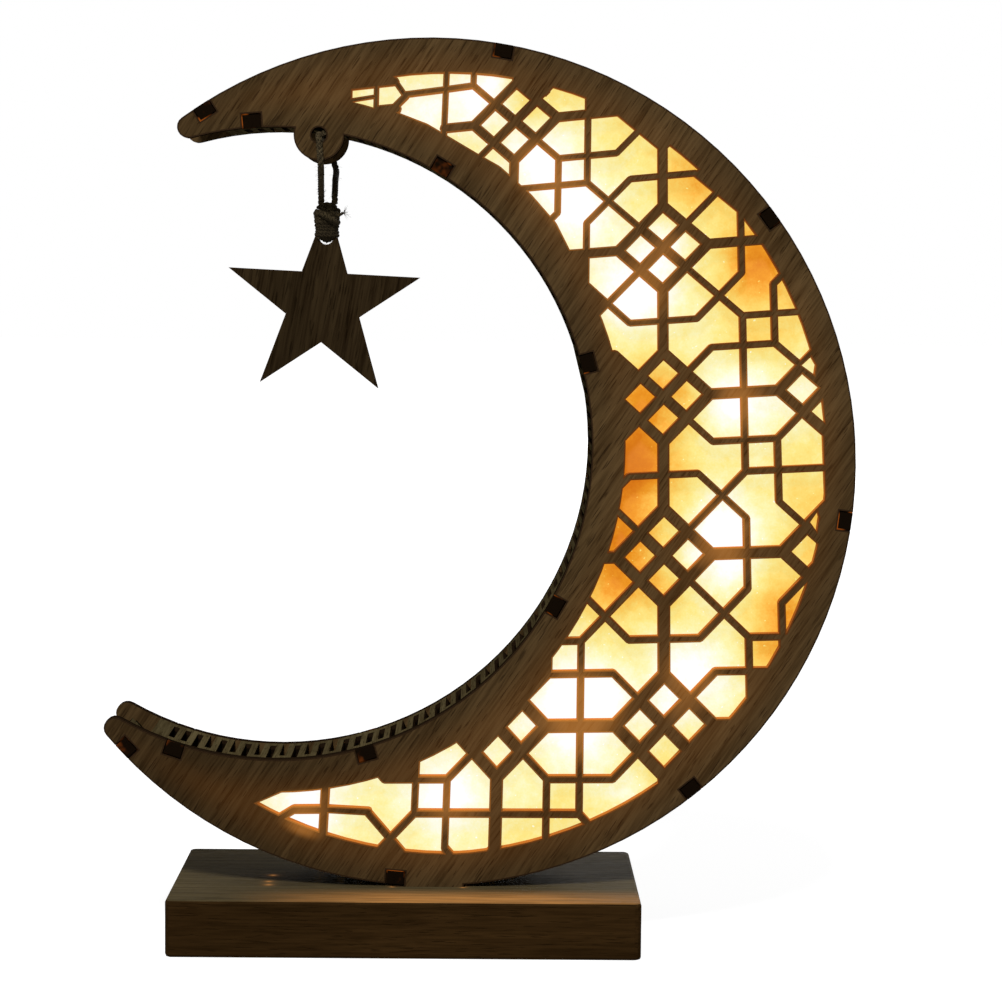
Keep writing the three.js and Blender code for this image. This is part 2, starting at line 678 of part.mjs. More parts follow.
function twineLoop() {
  const out = panelY + gap + twineRadius; // a strand on the ear's face
  const bendHeight = gap + 1.5 * twineRadius; // over the hole's edge
  const under = earRadius + gap + twineRadius; // past the ear, where the strand turns inwards
  const strand = (side, lean, foot) => [
    [0, panelY - 2 * sheet, 0],
    [0, out - bendHeight, 0],
    [0, out - 0.3 * bendHeight, -0.3 * bendHeight],
    [lean / 4, out, -bendHeight],
    [lean / 2, out, -under / 2],
    [lean, out - 0.2, -under],
    [(lean + foot) / 2, out / 2, -0.45 * (under + strandEnd)],
    [foot, 1.2, -strandEnd + 2],
    [foot, 0, -strandEnd + 1],
    [foot, 0, -strandEnd],
  ].map(([x, y, z]) => [x, side * y, z]);
  const front = strand(-1, strandLean[0], strandFoot[0]);
  const rear = strand(1, strandLean[1], strandFoot[1]);
  return tube(throughPoints([...front.reverse(), ...rear]), twineRadius, 8, 52);
}

// A short turn of twine with round ends, across the strands' ends
function twineTurn() {
  const end = turnLength / 2;
  const cap = [0, 45].map((degrees) => [
    turnRadius * Math.sin(radians(degrees)),
    end - turnRadius + turnRadius * Math.cos(radians(degrees)),
  ]);
  const half = [...cap, [turnRadius, end - turnRadius]];
  const other = half.map(([r, h]) => [r, -h]);
  return revolve([...other, ...half.reverse()], 10).rotateZ(Math.PI / 2);
}

// One strand of the tie: down the star's front, through its hole and up its back
function tieStrand(side) {
  const out = starThickness / 2 + gap + tieRadius;
  const wide = side * tieSpread[0];
  const near = side * tieSpread[1];
  const half = [
    [wide, out - 0.4, (knotTop + knotFoot) / 2],
    [wide, out, knotFoot - 0.5],
    [near, out, tieZ + 2],
    [near, out - 0.25, tieZ + 0.7],
    [near, out - 1.1, tieZ],
  ];
  const back = [...half].reverse();
  return tube(throughPoints([...half.map(([x, y, z]) => [x, -y, z]), ...back]), tieRadius, 8, 14);
}

// A lump of twine with two turns round it, a loose end and the tie that carries the star
function twineKnot() {
  const middle = (knotTop + knotFoot) / 2;
  const lump = new THREE.SphereGeometry(1, 12, 6).rotateX(Math.PI / 2);
  lump.scale(knotWidth / 2 - twineRadius / 2, knotDepth / 2 - twineRadius / 2, knotHeight / 2);
  const wound = [-1, 1].map((side) => new THREE.TorusGeometry(knotWidth / 2 - twineRadius, twineRadius, 6, 14)
    .scale(1, knotDepth / knotWidth, 1)
    .rotateY(radians(side * 12))
    .translate(0, 0, (side * knotHeight) / 5));
  const loose = new THREE.LineCurve3(
    new THREE.Vector3(knotWidth / 4, -knotDepth / 4, 0),
    new THREE.Vector3(knotWidth / 2 + knotTail, -knotDepth / 4, twineRadius / 2),
  );
  const tail = tube(loose, twineRadius / 2, 6, 1);
  const knot = join([lump, ...wound, tail].map((part) => toSolid(part.translate(0, 0, middle))));
  return toGeometry(join([knot, ...[-1, 1].map((side) => toSolid(tieStrand(side)))]));
}

// A five-pointed star whose top tip is cut off. Its own origin is the middle of that cut.
function star() {
  const corners = Array.from({ length: 10 }, (_, i) => {
    const radius = i % 2 ? starRadius * starWaist : starRadius;
    return new THREE.Vector2(0, radius).rotateAround(origin, radians(i * 36));
  });
  const [tip, left, right] = [corners[0], corners[1], corners[9]];
  const share = starCut / (tip.y - left.y);
  const outline = [tip.clone().lerp(right, share), tip.clone().lerp(left, share), ...corners.slice(1)];
  const hole = circle(new THREE.Vector2(0, starRadius - starHoleDrop), starHoleRadius, 16);
  return plate(outline, starThickness, [hole])
    .translate(0, -starThickness / 2, -(starRadius - starCut))
    .rotateY(radians(starTurn));
}

function pendant() {
  const group = new THREE.Group();
  group.position.set(crescentX + earCentre.x, 0, crescentZ + earCentre.y);
  group.add(
    piece('twine_loop', twineLoop(), juteTwine),
    piece('twine_turn', twineTurn(), juteTwine, [knotX, 0, turnZ]),
    piece('twine_knot', twineKnot(), juteTwine, [knotX, 0, 0]),
    piece('wooden_star', star(), starWood, [knotX, 0, starTop]),
  );
  return group;
}

// Box with a bay for the cells, open to the back and at its lower end for the cover, and one for the switch
function batteryCase() {
  const shell = plate(roundedRectangle(boxHalf, boxHeight / 2, boxCorner), boxDepth);
  const between = (halfX, [y0, y1], [z0, z1]) => box(
    [2 * halfX, y1 - y0, z1 - z0],
    [0, (y0 + y1) / 2, (z0 + z1) / 2],
  );
  const below = -boxHeight; // past the lower end
  const beyond = boxDepth + 1; // past the face
  const slotHalf = (knobWidth + knobTravel) / 2 + gap;
  const knobHalf = knobHeight / 2 + gap;
  return cut(shell, [
    between(bayHalf, [boxFloor, beyond], [cellFoot, cellHead]),
    between(bayHalf, [coverY - gap, beyond], [below, cellHead]),
    between(bayHalf + coverGroove, [coverY - gap, coverY + coverThickness + gap], [below, cellHead]),
    between(bayHalf, [-1, boxDepth - boxFloor], [cellHead + boxEnd, boxHeight / 2 - boxEnd]),
    between(slotHalf, [boxDepth - boxFloor - 1, beyond], [switchZ - knobHalf, switchZ + knobHalf]),
    ...screwPlaces.map((z) => plate(circle(new THREE.Vector2(0, z), screwRadius + gap, 12), 3 * boxFloor)
      .translate(0, -boxFloor, 0)),
  ]);
}

function batteryCover() {
  const width = 2 * (bayHalf + coverGroove - gap);
  const [foot, head] = [-boxHeight / 2, cellHead - gap];
  const slab = box([width, coverThickness, head - foot], [0, coverY + coverThickness / 2, (foot + head) / 2]);
  const grips = Array.from({ length: gripCount }, (_, i) => {
    const z = foot + gripPitch * (i + 1);
    const y = coverY + coverThickness + gripHeight / 2;
    return toSolid(box([gripWidth, gripHeight + 0.2, gripThickness], [0, y - 0.1, z]));
  });
  return toGeometry(join([toSolid(slab), ...grips]));
}

// A cell standing on its flat end
function cell() {
  const shoulder = cellLength - nubHeight;
  const can = [[0, 0], [cellRadius, 0], [cellRadius, shoulder]];
  const nub = [[nubRadius, shoulder], [nubRadius, cellLength], [0, cellLength]];
  return revolve([...can, ...nub], 20).rotateX(Math.PI / 2);
}

// A spring that narrows towards its upper end
function contactSpring() {
  const steps = 8 * springTurns;
  const points = Array.from({ length: steps + 1 }, (_, i) => {
    const share = i / steps;
    const turn = 2 * Math.PI * springTurns * share;
    const radius = springFoot + (springHead - springFoot) * share;
    const z = springWire + (springHeight - 2 * springWire) * share;
    return [radius * Math.cos(turn), radius * Math.sin(turn), z];
  });
  return tube(throughPoints(points), springWire, 5, steps);
}

// A flat head on the box's floor, with its shank through the floor and the panel
function screw() {
  return revolve([
    [0, -screwLength], [screwRadius, -screwLength], [screwRadius, 0],
    [screwHeadRadius, 0], [screwHeadRadius, screwHeadHeight], [0, screwHeadHeight],
  ], 12);
}

function batteryPieces() {
  const plateSize = (width) => [width, contactWidth, contactThickness];
  const plateAt = (x, width) => box(plateSize(width), [x, cellY, contactThickness / 2]);
  const plateHead = cellHead - contactThickness;
  const springGap = contactThickness + gap;
  const nubGap = contactThickness + gap; // between a bay's end and the nub of the cell there
  const knobLength = boxDepth + knobReach - (switchY + switchSize[1] + gap);
  const wire = new THREE.LineCurve3(
    new THREE.Vector3(0, -sheet, 0),
    new THREE.Vector3(0, switchY - gap, 0),
  );
  const knob = box([knobWidth, knobLength, knobHeight], [0, -knobLength / 2, 0]);
  const flipped = contactSpring().rotateX(Math.PI);
  return [
    piece('battery_case', batteryCase(), blackPlastic),
    piece('battery_cover', batteryCover(), blackPlastic),
    piece('contact_link', plateAt(0, 2 * cellX + contactWidth), plateMetal, [0, 0, cellFoot]),
    piece('contact_positive', plateAt(-cellX, contactWidth), plateMetal, [0, 0, plateHead]),
    piece('contact_negative', plateAt(cellX, contactWidth), plateMetal, [0, 0, plateHead]),
    piece('contact_spring_1', contactSpring(), plateMetal, [-cellX, cellY, cellFoot + springGap]),
    piece('contact_spring_2', flipped, plateMetal, [cellX, cellY, cellHead - springGap]),
    piece('cell_1', cell(), cellSleeve, [-cellX, cellY, cellHead - nubGap - cellLength]),
    piece('cell_2', cell().rotateX(Math.PI), cellSleeve, [cellX, cellY, cellFoot + nubGap + cellLength]),
    piece('switch_body', box(switchSize, [0, switchSize[1] / 2, 0]), greyPlastic, [0, switchY, switchZ]),
    piece('switch_knob', knob, greyPlastic, [knobTravel / 2, boxDepth + knobReach, switchZ]),
    piece('supply_wire', tube(wire, stringRadius, 8, 1), enamelWire, [feedX, 0, switchZ]),
    ...screwPlaces.map((z, i) => piece(`case_screw_${i + 1}`, screw(), plateMetal, [0, boxFloor, z])),
  ];
}

function nightLight() {
  const crescent = new THREE.Group();
  crescent.position.set(crescentX, 0, crescentZ);
  crescent.add(...crescentPieces());
  const battery = new THREE.Group();
  battery.position.set(boxCentre.x, panelY, boxCentre.y);
  battery.add(...batteryPieces());
  crescent.add(battery);
  const lamp = new THREE.Group();
  lamp.add(baseBlock(), crescent, pendant());
  return lamp;
}

export default nightLight();
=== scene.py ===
"""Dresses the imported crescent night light: its wood, glow, twine and battery box.

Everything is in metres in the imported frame: +X is to the right, +Y to the back and
+Z up, and the origin is under the middle of the base.
"""

from __future__ import annotations

import logging
import math
import random
from dataclasses import dataclass
from enum import Enum
from typing import Iterable, Sequence

import bpy
import numpy as np
from mathutils import Matrix, Vector

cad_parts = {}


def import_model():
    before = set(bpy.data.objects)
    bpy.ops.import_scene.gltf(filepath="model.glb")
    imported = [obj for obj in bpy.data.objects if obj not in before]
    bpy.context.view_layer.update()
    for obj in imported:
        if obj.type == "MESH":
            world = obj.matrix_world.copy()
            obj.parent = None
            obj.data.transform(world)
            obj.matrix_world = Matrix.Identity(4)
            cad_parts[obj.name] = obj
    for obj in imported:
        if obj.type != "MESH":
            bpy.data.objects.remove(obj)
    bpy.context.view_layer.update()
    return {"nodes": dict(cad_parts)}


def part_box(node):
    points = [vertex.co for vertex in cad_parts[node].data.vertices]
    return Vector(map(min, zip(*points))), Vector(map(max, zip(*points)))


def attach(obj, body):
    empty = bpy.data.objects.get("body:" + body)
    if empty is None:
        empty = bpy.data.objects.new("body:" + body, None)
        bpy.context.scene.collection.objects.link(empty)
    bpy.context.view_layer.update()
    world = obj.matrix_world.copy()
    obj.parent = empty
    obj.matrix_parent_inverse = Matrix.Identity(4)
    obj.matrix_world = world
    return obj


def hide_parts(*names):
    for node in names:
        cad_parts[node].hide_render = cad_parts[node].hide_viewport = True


LOG = logging.getLogger("night_light")
MM = 0.001
Colour = tuple[float, float, float]
Point = tuple[float, float, float]
Socket = bpy.types.NodeSocket
Mesh = tuple[np.ndarray, list[tuple[int, ...]]]  # points and faces
BLACK: Colour = (0.0, 0.0, 0.0)


def lamp_xz(x: float, z: float, y: float = 0.0) -> Vector:
    """A point given in millimetres across and up, and to the back.

    Args:
        x: Millimetres to the right.
        z: Millimetres up.
        y: Millimetres to the back.

    Returns:
        The same point in metres.
    """
    return Vector((x * MM, y * MM, z * MM))


MOON_CENTRE = lamp_xz(5.5, 113.7)
MOUTH_CENTRE = lamp_xz(-31.224, 118.209)
MOON_LEAN = math.radians(-7.0)
EAR = lamp_xz(-21.256, 190.980)
OUTER_RIM = 100.0 * MM
MOUTH_RIM = 74.5 * MM
WINDOW_OUT = 93.5 * MM  # the window's edge, from the moon's centre
WINDOW_IN = 82.0 * MM  # and from the mouth's centre
LIT_WALLS = (-0.9 * MM, 2.2 * MM)  # where walls glow: full from inside the edge, none outside it


# --------------------------------------------------------------------------
# Node trees
# --------------------------------------------------------------------------
class Wiring:
    """Places nodes in one tree and links them."""

    def __init__(self, tree: bpy.types.NodeTree) -> None:
        """Keeps the tree that the nodes go in."""
        self.tree = tree

    def node(self, kind: str, **settings: object) -> bpy.types.Node:
        """Adds a node.

        Args:
            kind: Blender's name for the node.
            **settings: Properties that are set on it.

        Returns:
            The new node.
        """
        made = self.tree.nodes.new(kind)
        for name, value in settings.items():
            setattr(made, name, value)
        return made

    def put(self, socket: Socket, value: object) -> None:
        """Links a socket to an input, or writes a plain value in it.

        Args:
            socket: The input.
            value: The socket, colour, vector or number that it takes.
        """
        if isinstance(value, bpy.types.NodeSocket):
            self.tree.links.new(value, socket)
        elif isinstance(value, tuple) and socket.type == "RGBA":
            socket.default_value = (*value[:3], 1.0)
        else:
            socket.default_value = value

    def math(self, operation: str, *values: object, clamp: bool = False) -> Socket:
        """A Math node's result on the values given.

        Args:
            operation: The node's operation.
            *values: Its inputs, in order.
            clamp: Whether the result stays from 0 to 1.

        Returns:
            The result.
        """
        made = self.node("ShaderNodeMath", operation=operation, use_clamp=clamp)
        for socket, value in zip(made.inputs, values):
            self.put(socket, value)
        return made.outputs[0]

    def vector(self, operation: str, *values: object) -> bpy.types.Node:
        """A Vector Math node on the values given.

        Args:
            operation: The node's operation.
            *values: Its inputs, in order.

        Returns:
            The node, for its Vector or its Value.
        """
        made = self.node("ShaderNodeVectorMath", operation=operation)
        for socket, value in zip(made.inputs, values):
            self.put(socket, value)
        return made

    def mix(self, share: object, first: object, second: object, blend: str = "MIX") -> Socket:
        """A colour between two others.

        Args:
            share: How much of the second.
            first: The colour at 0.
            second: The colour at 1.
            blend: The blend mode.

        Returns:
            The colour socket.
        """
        made = self.node("ShaderNodeMix", data_type="RGBA", blend_type=blend)
        self.put(made.inputs[0], share)
        self.put(made.inputs[6], first)
        self.put(made.inputs[7], second)
        return made.outputs[2]

    def noise(self, at: object, scale: object, detail: float = 2.0) -> Socket:
        """A noise value, from 0 to 1.

        Args:
            at: The point.
            scale: How fine it is, per metre.
            detail: How many finer layers it has.

        Returns:
            The value.
        """
        made = self.node("ShaderNodeTexNoise")
        self.put(made.inputs["Vector"], at)
        self.put(made.inputs["Scale"], scale)
        made.inputs["Detail"].default_value = detail
        return made.outputs["Fac"]

    def streaks(self, at: object, scale: Point, detail: float) -> Socket:
        """A noise value with a scale of its own along each axis."""
        return self.noise(self.vector("MULTIPLY", at, scale).outputs[0], 1.0, detail)

    def remap(
        self, value: object, low: float, high: float, start: float = 0.0, end: float = 1.0
    ) -> Socket:
        """A value spread from one range to another, clamped and smoothed.

        Args:
            value: The value.
            low: Where the range starts.
            high: Where it ends.
            start: The result at low.
            end: The result at high.

        Returns:
            The new value.
        """
        made = self.node("ShaderNodeMapRange", interpolation_type="SMOOTHSTEP")
        for socket, given in zip(made.inputs, (value, low, high, start, end)):
            self.put(socket, given)
        return made.outputs[0]

    def ramp(self, value: object, stops: Sequence[tuple[float, Colour]]) -> Socket:
        """A colour ramp through the stops given.

        Args:
            value: The value, from 0 to 1.
            stops: Places from 0 to 1, each with its colour.

        Returns:
            The colour.
        """
        made = self.node("ShaderNodeValToRGB")
        band = made.color_ramp
        while len(band.elements) > 1:
            band.elements.remove(band.elements[-1])
        for i, (at, colour) in enumerate(stops):
            element = band.elements[0] if i == 0 else band.elements.new(at)
            element.position = at
            element.color = (*colour, 1.0)
        self.put(made.inputs[0], value)
        return made.outputs[0]

    def split(self, vector: object) -> tuple[Socket, Socket, Socket]:
        """The three parts of a vector.

        Args:
            vector: The vector.

        Returns:
            Its X, Y and Z.
        """
        made = self.node("ShaderNodeSeparateXYZ")
        self.put(made.inputs[0], vector)
        return tuple(made.outputs)

    def joined(self, x: object, y: object, z: object) -> Socket:
        """A vector from its three parts.

        Args:
            x: Its X.
            y: Its Y.
            z: Its Z.

        Returns:
            The vector.
        """
        made = self.node("ShaderNodeCombineXYZ")
        for socket, value in zip(made.inputs, (x, y, z)):
            self.put(socket, value)
        return made.outputs[0]

    def place(self) -> Socket:
        """The point on the surface, in metres."""
        return self.node("ShaderNodeTexCoord").outputs["Object"]

    def normal(self) -> Socket:
        """The surface's own normal."""
        return self.node("ShaderNodeTexCoord").outputs["Normal"]

    def turned(self, at: object, turn: Point, scale: Point = (1.0, 1.0, 1.0)) -> Socket:
        """A point turned, and then scaled, by a Mapping node.

        Args:
            at: The point.
            turn: The turn about each axis, in radians.
            scale: The scale along each axis after it.

        Returns:
            The new point.
        """
        spun = self.node("ShaderNodeMapping")
        self.put(spun.inputs["Vector"], at)
        spun.inputs["Rotation"].default_value = turn
        return self.vector("MULTIPLY", spun.outputs[0], scale).outputs[0]


class Effect(Enum):
    """The shared node groups."""

    GRAIN = "wood_grain"
    CUT = "laser_cut"
    POOL = "light_pool"
    SPECKLE = "speckle"


SOCKETS = {float: "NodeSocketFloat", tuple: "NodeSocketVector", str: "NodeSocketColor"}


def new_effect(
    effect: Effect, takes: dict[str, type], gives: dict[str, type]
) -> tuple[Wiring, dict[str, Socket], dict[str, Socket]]:
    """Starts a shader node group.

    Args:
        effect: Which group.
        takes: Names and kinds of its inputs.
        gives: Names and kinds of its outputs.

    Returns:
        The wiring, its inputs by name, and its output node's sockets by name.
    """
    tree = bpy.data.node_groups.new(effect.value, "ShaderNodeTree")
    for way, named in (("INPUT", takes), ("OUTPUT", gives)):
        for name, kind in named.items():
            tree.interface.new_socket(name=name, in_out=way, socket_type=SOCKETS[kind])
    wiring = Wiring(tree)
    start, end = wiring.node("NodeGroupInput"), wiring.node("NodeGroupOutput")
    return wiring, {n: start.outputs[n] for n in takes}, {n: end.inputs[n] for n in gives}


def use_effect(wiring: Wiring, effect: Effect, **values: object) -> bpy.types.NodeOutputs:
    """Places a shared group in a material.

    Args:
        wiring: The material's wiring.
        effect: Which group.
        **values: Its inputs, by name.

    Returns:
        Its outputs.
    """
    made = wiring.node("ShaderNodeGroup")
    made.node_tree = bpy.data.node_groups[effect.value]
    for name, value in values.items():
        wiring.put(made.inputs[name], value)
    return made.outputs


def build_grain() -> None:
    """Wood grain: soft bands, fine streaks and short dark pores along X."""
    w, take, give = new_effect(
        Effect.GRAIN,
        {"Vector": tuple, "Light": str, "Dark": str, "Pore": str, "Bands": float},
        {"Color": str, "Height": float},
    )
    sway = w.streaks(take["Vector"], (9.0, 30.0, 30.0), 2.0)
    drift = w.math("MULTIPLY", w.math("SUBTRACT", sway, 0.5), 6.0 * MM)
    at = w.vector("ADD", take["Vector"], w.joined(0.0, drift, 0.0)).outputs[0]
    band = w.streaks(at, (22.0, 520.0, 520.0), 3.0)
    streak = w.streaks(at, (80.0, 1900.0, 1900.0), 3.0)
    pore = w.streaks(at, (190.0, 2600.0, 2600.0), 1.0)
    cloud = w.streaks(at, (14.0, 60.0, 60.0), 2.0)
    blend = w.math(
        "ADD",
        w.math("MULTIPLY", w.remap(band, 0.30, 0.72), take["Bands"]),
        w.math("MULTIPLY", w.remap(streak, 0.32, 0.72), w.math("SUBTRACT", 1.0, take["Bands"])),
    )
    wood = w.mix(blend, take["Light"], take["Dark"])
    shade = w.remap(cloud, 0.3, 0.7, 0.86, 1.14)
    tone = w.node("ShaderNodeCombineColor")
    for socket in tone.inputs[:3]:
        w.put(socket, shade)
    wood = w.mix(1.0, wood, tone.outputs[0], "MULTIPLY")
    hole = w.remap(pore, 0.60, 0.72)
    w.put(give["Color"], w.mix(w.math("MULTIPLY", hole, 0.6), wood, take["Pore"]))
    w.put(give["Height"], w.math("SUBTRACT", w.math("MULTIPLY", streak, 0.4), hole))


def build_cut() -> None:
    """The scorched wall that a laser leaves, with the veneers' layers across it."""
    w, take, give = new_effect(
        Effect.CUT,
        {
            "Color": str,
            "Char": str,
            "Layer": str,
            "Facing": float,
            "Depth": float,
            "Vector": tuple,
        },
        {"Color": str, "Wall": float},
    )
    wall = w.remap(take["Facing"], 0.75, 0.55)
    layer = w.math("PINGPONG", take["Depth"], 1.0)
    fleck = w.noise(take["Vector"], 900.0, 3.0)
    ply = w.remap(w.math("ADD", layer, w.math("MULTIPLY", fleck, 0.5)), 0.55, 0.95)
    scorched = w.mix(ply, take["Char"], take["Layer"])
    w.put(give["Color"], w.mix(wall, take["Color"], scorched))
    w.put(give["Wall"], wall)


def build_pool() -> None:
    """How brightly one lamp lights the film round it."""
    w, take, give = new_effect(
        Effect.POOL,
        {"Vector": tuple, "Centre": tuple, "Reach": float, "Strength": float},
        {"Level": float},
    )
    away = w.vector("DISTANCE", take["Vector"], take["Centre"]).outputs["Value"]
    share = w.math("DIVIDE", away, take["Reach"])
    fall = w.math("ADD", 1.0, w.math("MULTIPLY", share, share))
    w.put(give["Level"], w.math("DIVIDE", take["Strength"], w.math("MULTIPLY", fall, fall)))


def build_speckle() -> None:
    """Fine unevenness of a moulded, frosted or plated surface."""
    w, take, give = new_effect(
        Effect.SPECKLE,
        {"Vector": tuple, "Scale": float, "Low": float, "High": float},
        {"Value": float, "Height": float},
    )
    coarse = w.noise(take["Vector"], take["Scale"], 4.0)
    fine = w.noise(take["Vector"], w.math("MULTIPLY", take["Scale"], 3.7), 2.0)
    both = w.math("ADD", w.math("MULTIPLY", coarse, 0.6), w.math("MULTIPLY", fine, 0.4))
    spread = w.node("ShaderNodeMapRange")
    for socket, given in zip(spread.inputs, (both, 0.3, 0.7, take["Low"], take["High"])):
        w.put(socket, given)
    w.put(give["Value"], spread.outputs[0])
    w.put(give["Height"], both)


def build_effects() -> None:
    """Builds every shared node group once."""
    build_grain()
    build_cut()
    build_pool()
    build_speckle()


def pooled(w: Wiring, at: Socket, centre: Sequence[float], reach: float, strength: float) -> Socket:
    """How brightly one lamp lights a point.

    Args:
        w: The material's wiring.
        at: The point.
        centre: The lamp's place, in metres.
        reach: How far the light reaches, in metres.
        strength: The level at its middle.

    Returns:
        The level.
    """
    return use_effect(
        w, Effect.POOL, Vector=at, Centre=tuple(centre), Reach=reach, Strength=strength
    )["Level"]


def principled(
    name: str, roughness: float | None = None, gloss: float | None = None, glow: float | None = None
) -> tuple[bpy.types.Material, Wiring, bpy.types.Node]:
    """A new material. What isn't given here stays Blender's own or is wired later.

    Args:
        name: Its name.
        roughness: Its roughness.
        gloss: Its specular level.
        glow: Its emission strength.

    Returns:
        The material, its wiring and its shader.
    """
    material = bpy.data.materials.new(name)
    material.use_nodes = True
    shader = material.node_tree.nodes["Principled BSDF"]
    for socket, value in (
        ("Roughness", roughness),
        ("Specular IOR Level", gloss),
        ("Emission Strength", glow),
    ):
        if value is not None:
            shader.inputs[socket].default_value = value
    return material, Wiring(material.node_tree), shader


def bump(
    wiring: Wiring, shader: bpy.types.Node, height: Socket, distance: float, strength: float
) -> None:
    """Feeds a height into the shader's normal.

    Args:
        wiring: The material's wiring.
        shader: The shader.
        height: The height, about 0 to 1.
        distance: How deep it is, in metres.
        strength: The bump's strength.
    """
    made = wiring.node("ShaderNodeBump")
    made.inputs["Distance"].default_value = distance
    made.inputs["Strength"].default_value = strength
    wiring.put(made.inputs["Height"], height)
    wiring.put(shader.inputs["Normal"], made.outputs[0])


# --------------------------------------------------------------------------
# Finishes
# --------------------------------------------------------------------------
class GrainHeading(Enum):
    """Which way the grain runs, in degrees up from +X, seen from the front."""

    LEVEL = 0.0
    DIAGONAL = 56.0
    UPRIGHT = 80.0


@dataclass(frozen=True)
class WoodFinish:
    """A wooden surface with its grain and scorched edges."""

    name: str
    heading: GrainHeading
    light: Colour
    dark: Colour
    pore: Colour
    bands: float = 0.45
    roughness: float = 0.62
    gloss: float = 0.0
    relief: float = 0.12 * MM

    def grain(self, w: Wiring, at: Socket | None = None) -> bpy.types.NodeOutputs:
        """The grain's colour and height.

        Args:
            w: The material's wiring.
            at: The point with the grain along its X, where the heading doesn't give it.

        Returns:
            The group's outputs.
        """
        return use_effect(
            w,
            Effect.GRAIN,
            Vector=at or w.turned(w.place(), (0.0, math.radians(self.heading.value), 0.0)),
            Light=self.light,
            Dark=self.dark,
            Pore=self.pore,
            Bands=self.bands,
        )

    def close(self, w: Wiring, shader: bpy.types.Node, colour: Socket, height: Socket) -> None:
        """Feeds the finished colour, the roughness and the grain's relief into the shader.

        Args:
            w: The material's wiring.
            shader: The shader.
            colour: The finished colour.
            height: The grain's height.
        """
        w.put(shader.inputs["Base Color"], colour)
        low, high = self.roughness - 0.06, self.roughness + 0.08
        uneven = use_effect(w, Effect.SPECKLE, Vector=w.place(), Scale=700.0, Low=low, High=high)
        w.put(shader.inputs["Roughness"], uneven["Value"])
        shader.inputs["Specular IOR Level"].default_value = self.gloss
        bump(w, shader, height, self.relief, 0.6)


@dataclass(frozen=True)
class PlyFinish(WoodFinish):
    """Plywood of three veneers whose cut walls are scorched.

    Its face is how far its outer side lies from the lamp's middle, to the front or back.
    """

    char: Colour = (0.007, 0.004, 0.002)
    layer: Colour = (0.018, 0.010, 0.005)
    veneer: float = 1 * MM
    face: float = 13 * MM

    def layers(self, w: Wiring) -> tuple[Socket, Socket]:
        """How flat-on the surface is to the sheet, and where it is in the sheet's thickness.

        Args:
            w: The material's wiring.

        Returns:
            How flat-on it is, and its depth in veneers.
        """
        facing = w.math("ABSOLUTE", w.split(w.normal())[1])
        deep = w.math("ABSOLUTE", w.split(w.place())[1])
        depth = w.math("DIVIDE", w.math("SUBTRACT", self.face, deep), self.veneer)
        return facing, depth

    def walls(
        self, w: Wiring, colour: Socket, layers: tuple[Socket, Socket], **scorch: Socket
    ) -> bpy.types.NodeOutputs:
        """The colour with scorched walls, and the walls' mask.

        Args:
            w: The material's wiring.
            colour: The faces' colour.
            layers: How flat-on the surface is, and where it is in the thickness, in veneers.
            **scorch: The walls' Char and Layer, where they aren't the finish's own.

        Returns:
            The group's outputs.
        """
        scorched = {"Char": self.char, "Layer": self.layer, **scorch}
        facing, depth = layers
        return use_effect(
            w, Effect.CUT, Color=colour, Facing=facing, Depth=depth, Vector=w.place(), **scorched
        )

    def cut(self) -> bpy.types.Material:
        """The material of a flat laser-cut piece.

        Returns:
            The material.
        """
        material, w, shader = principled(self.name)
        grain = self.grain(w)
        edge = self.walls(w, grain["Color"], self.layers(w))
        self.close(w, shader, edge["Color"], grain["Height"])
        return material


@dataclass(frozen=True)
class Patch:
    """A bright or a dim place on the film.

    It is placed by its angle from the moon's axis and its distance from the moon's centre,
    in millimetres as its reach is.
    """

    degrees: float
    radius: float
    reach: float
    strength: float

    def centre(self) -> Vector:
        """Where it is."""
        turn = math.radians(self.degrees) + MOON_LEAN
        return MOON_CENTRE + lamp_xz(self.radius * math.cos(turn), self.radius * math.sin(turn))


EVEN_LIGHT = 0.60
LIT_PATCHES = (
    Patch(99.0, 83.5, 9.0, 0.30),
    Patch(91.0, 87.0, 9.0, 0.34),
    Patch(78.0, 75.5, 11.0, 0.42),
    Patch(68.0, 69.5, 11.0, 0.40),
    Patch(47.0, 62.5, 13.0, 0.46),
    Patch(50.0, 74.0, 8.0, 0.20),
    Patch(19.5, 73.5, 12.0, 0.50),
    Patch(-4.5, 70.0, 11.0, 0.55),
    Patch(-12.0, 75.0, 8.0, 0.30),
    Patch(-30.5, 78.0, 12.0, 0.42),
    Patch(-50.5, 63.0, 12.0, 0.38),
    Patch(-54.0, 73.0, 12.0, 0.35),
    Patch(-79.5, 79.0, 14.0, 0.42),
    Patch(-104.0, 82.0, 13.0, 0.34),
    Patch(107.0, 88.0, 5.0, 0.10),
    Patch(88.0, 91.0, 5.0, 0.20),
    Patch(50.5, 78.5, 6.0, 0.18),
    Patch(19.0, 89.5, 6.0, 0.20),
    Patch(-12.0, 65.0, 5.0, 0.22),
    Patch(-31.0, 89.0, 6.0, 0.14),
    Patch(-37.5, 83.0, 8.0, 0.16),
    Patch(-46.0, 70.0, 7.0, 0.20),
    Patch(-52.0, 91.0, 7.0, 0.15),
    Patch(-63.0, 65.0, 5.0, 0.12),
    Patch(-102.0, 91.0, 7.0, 0.34),
)
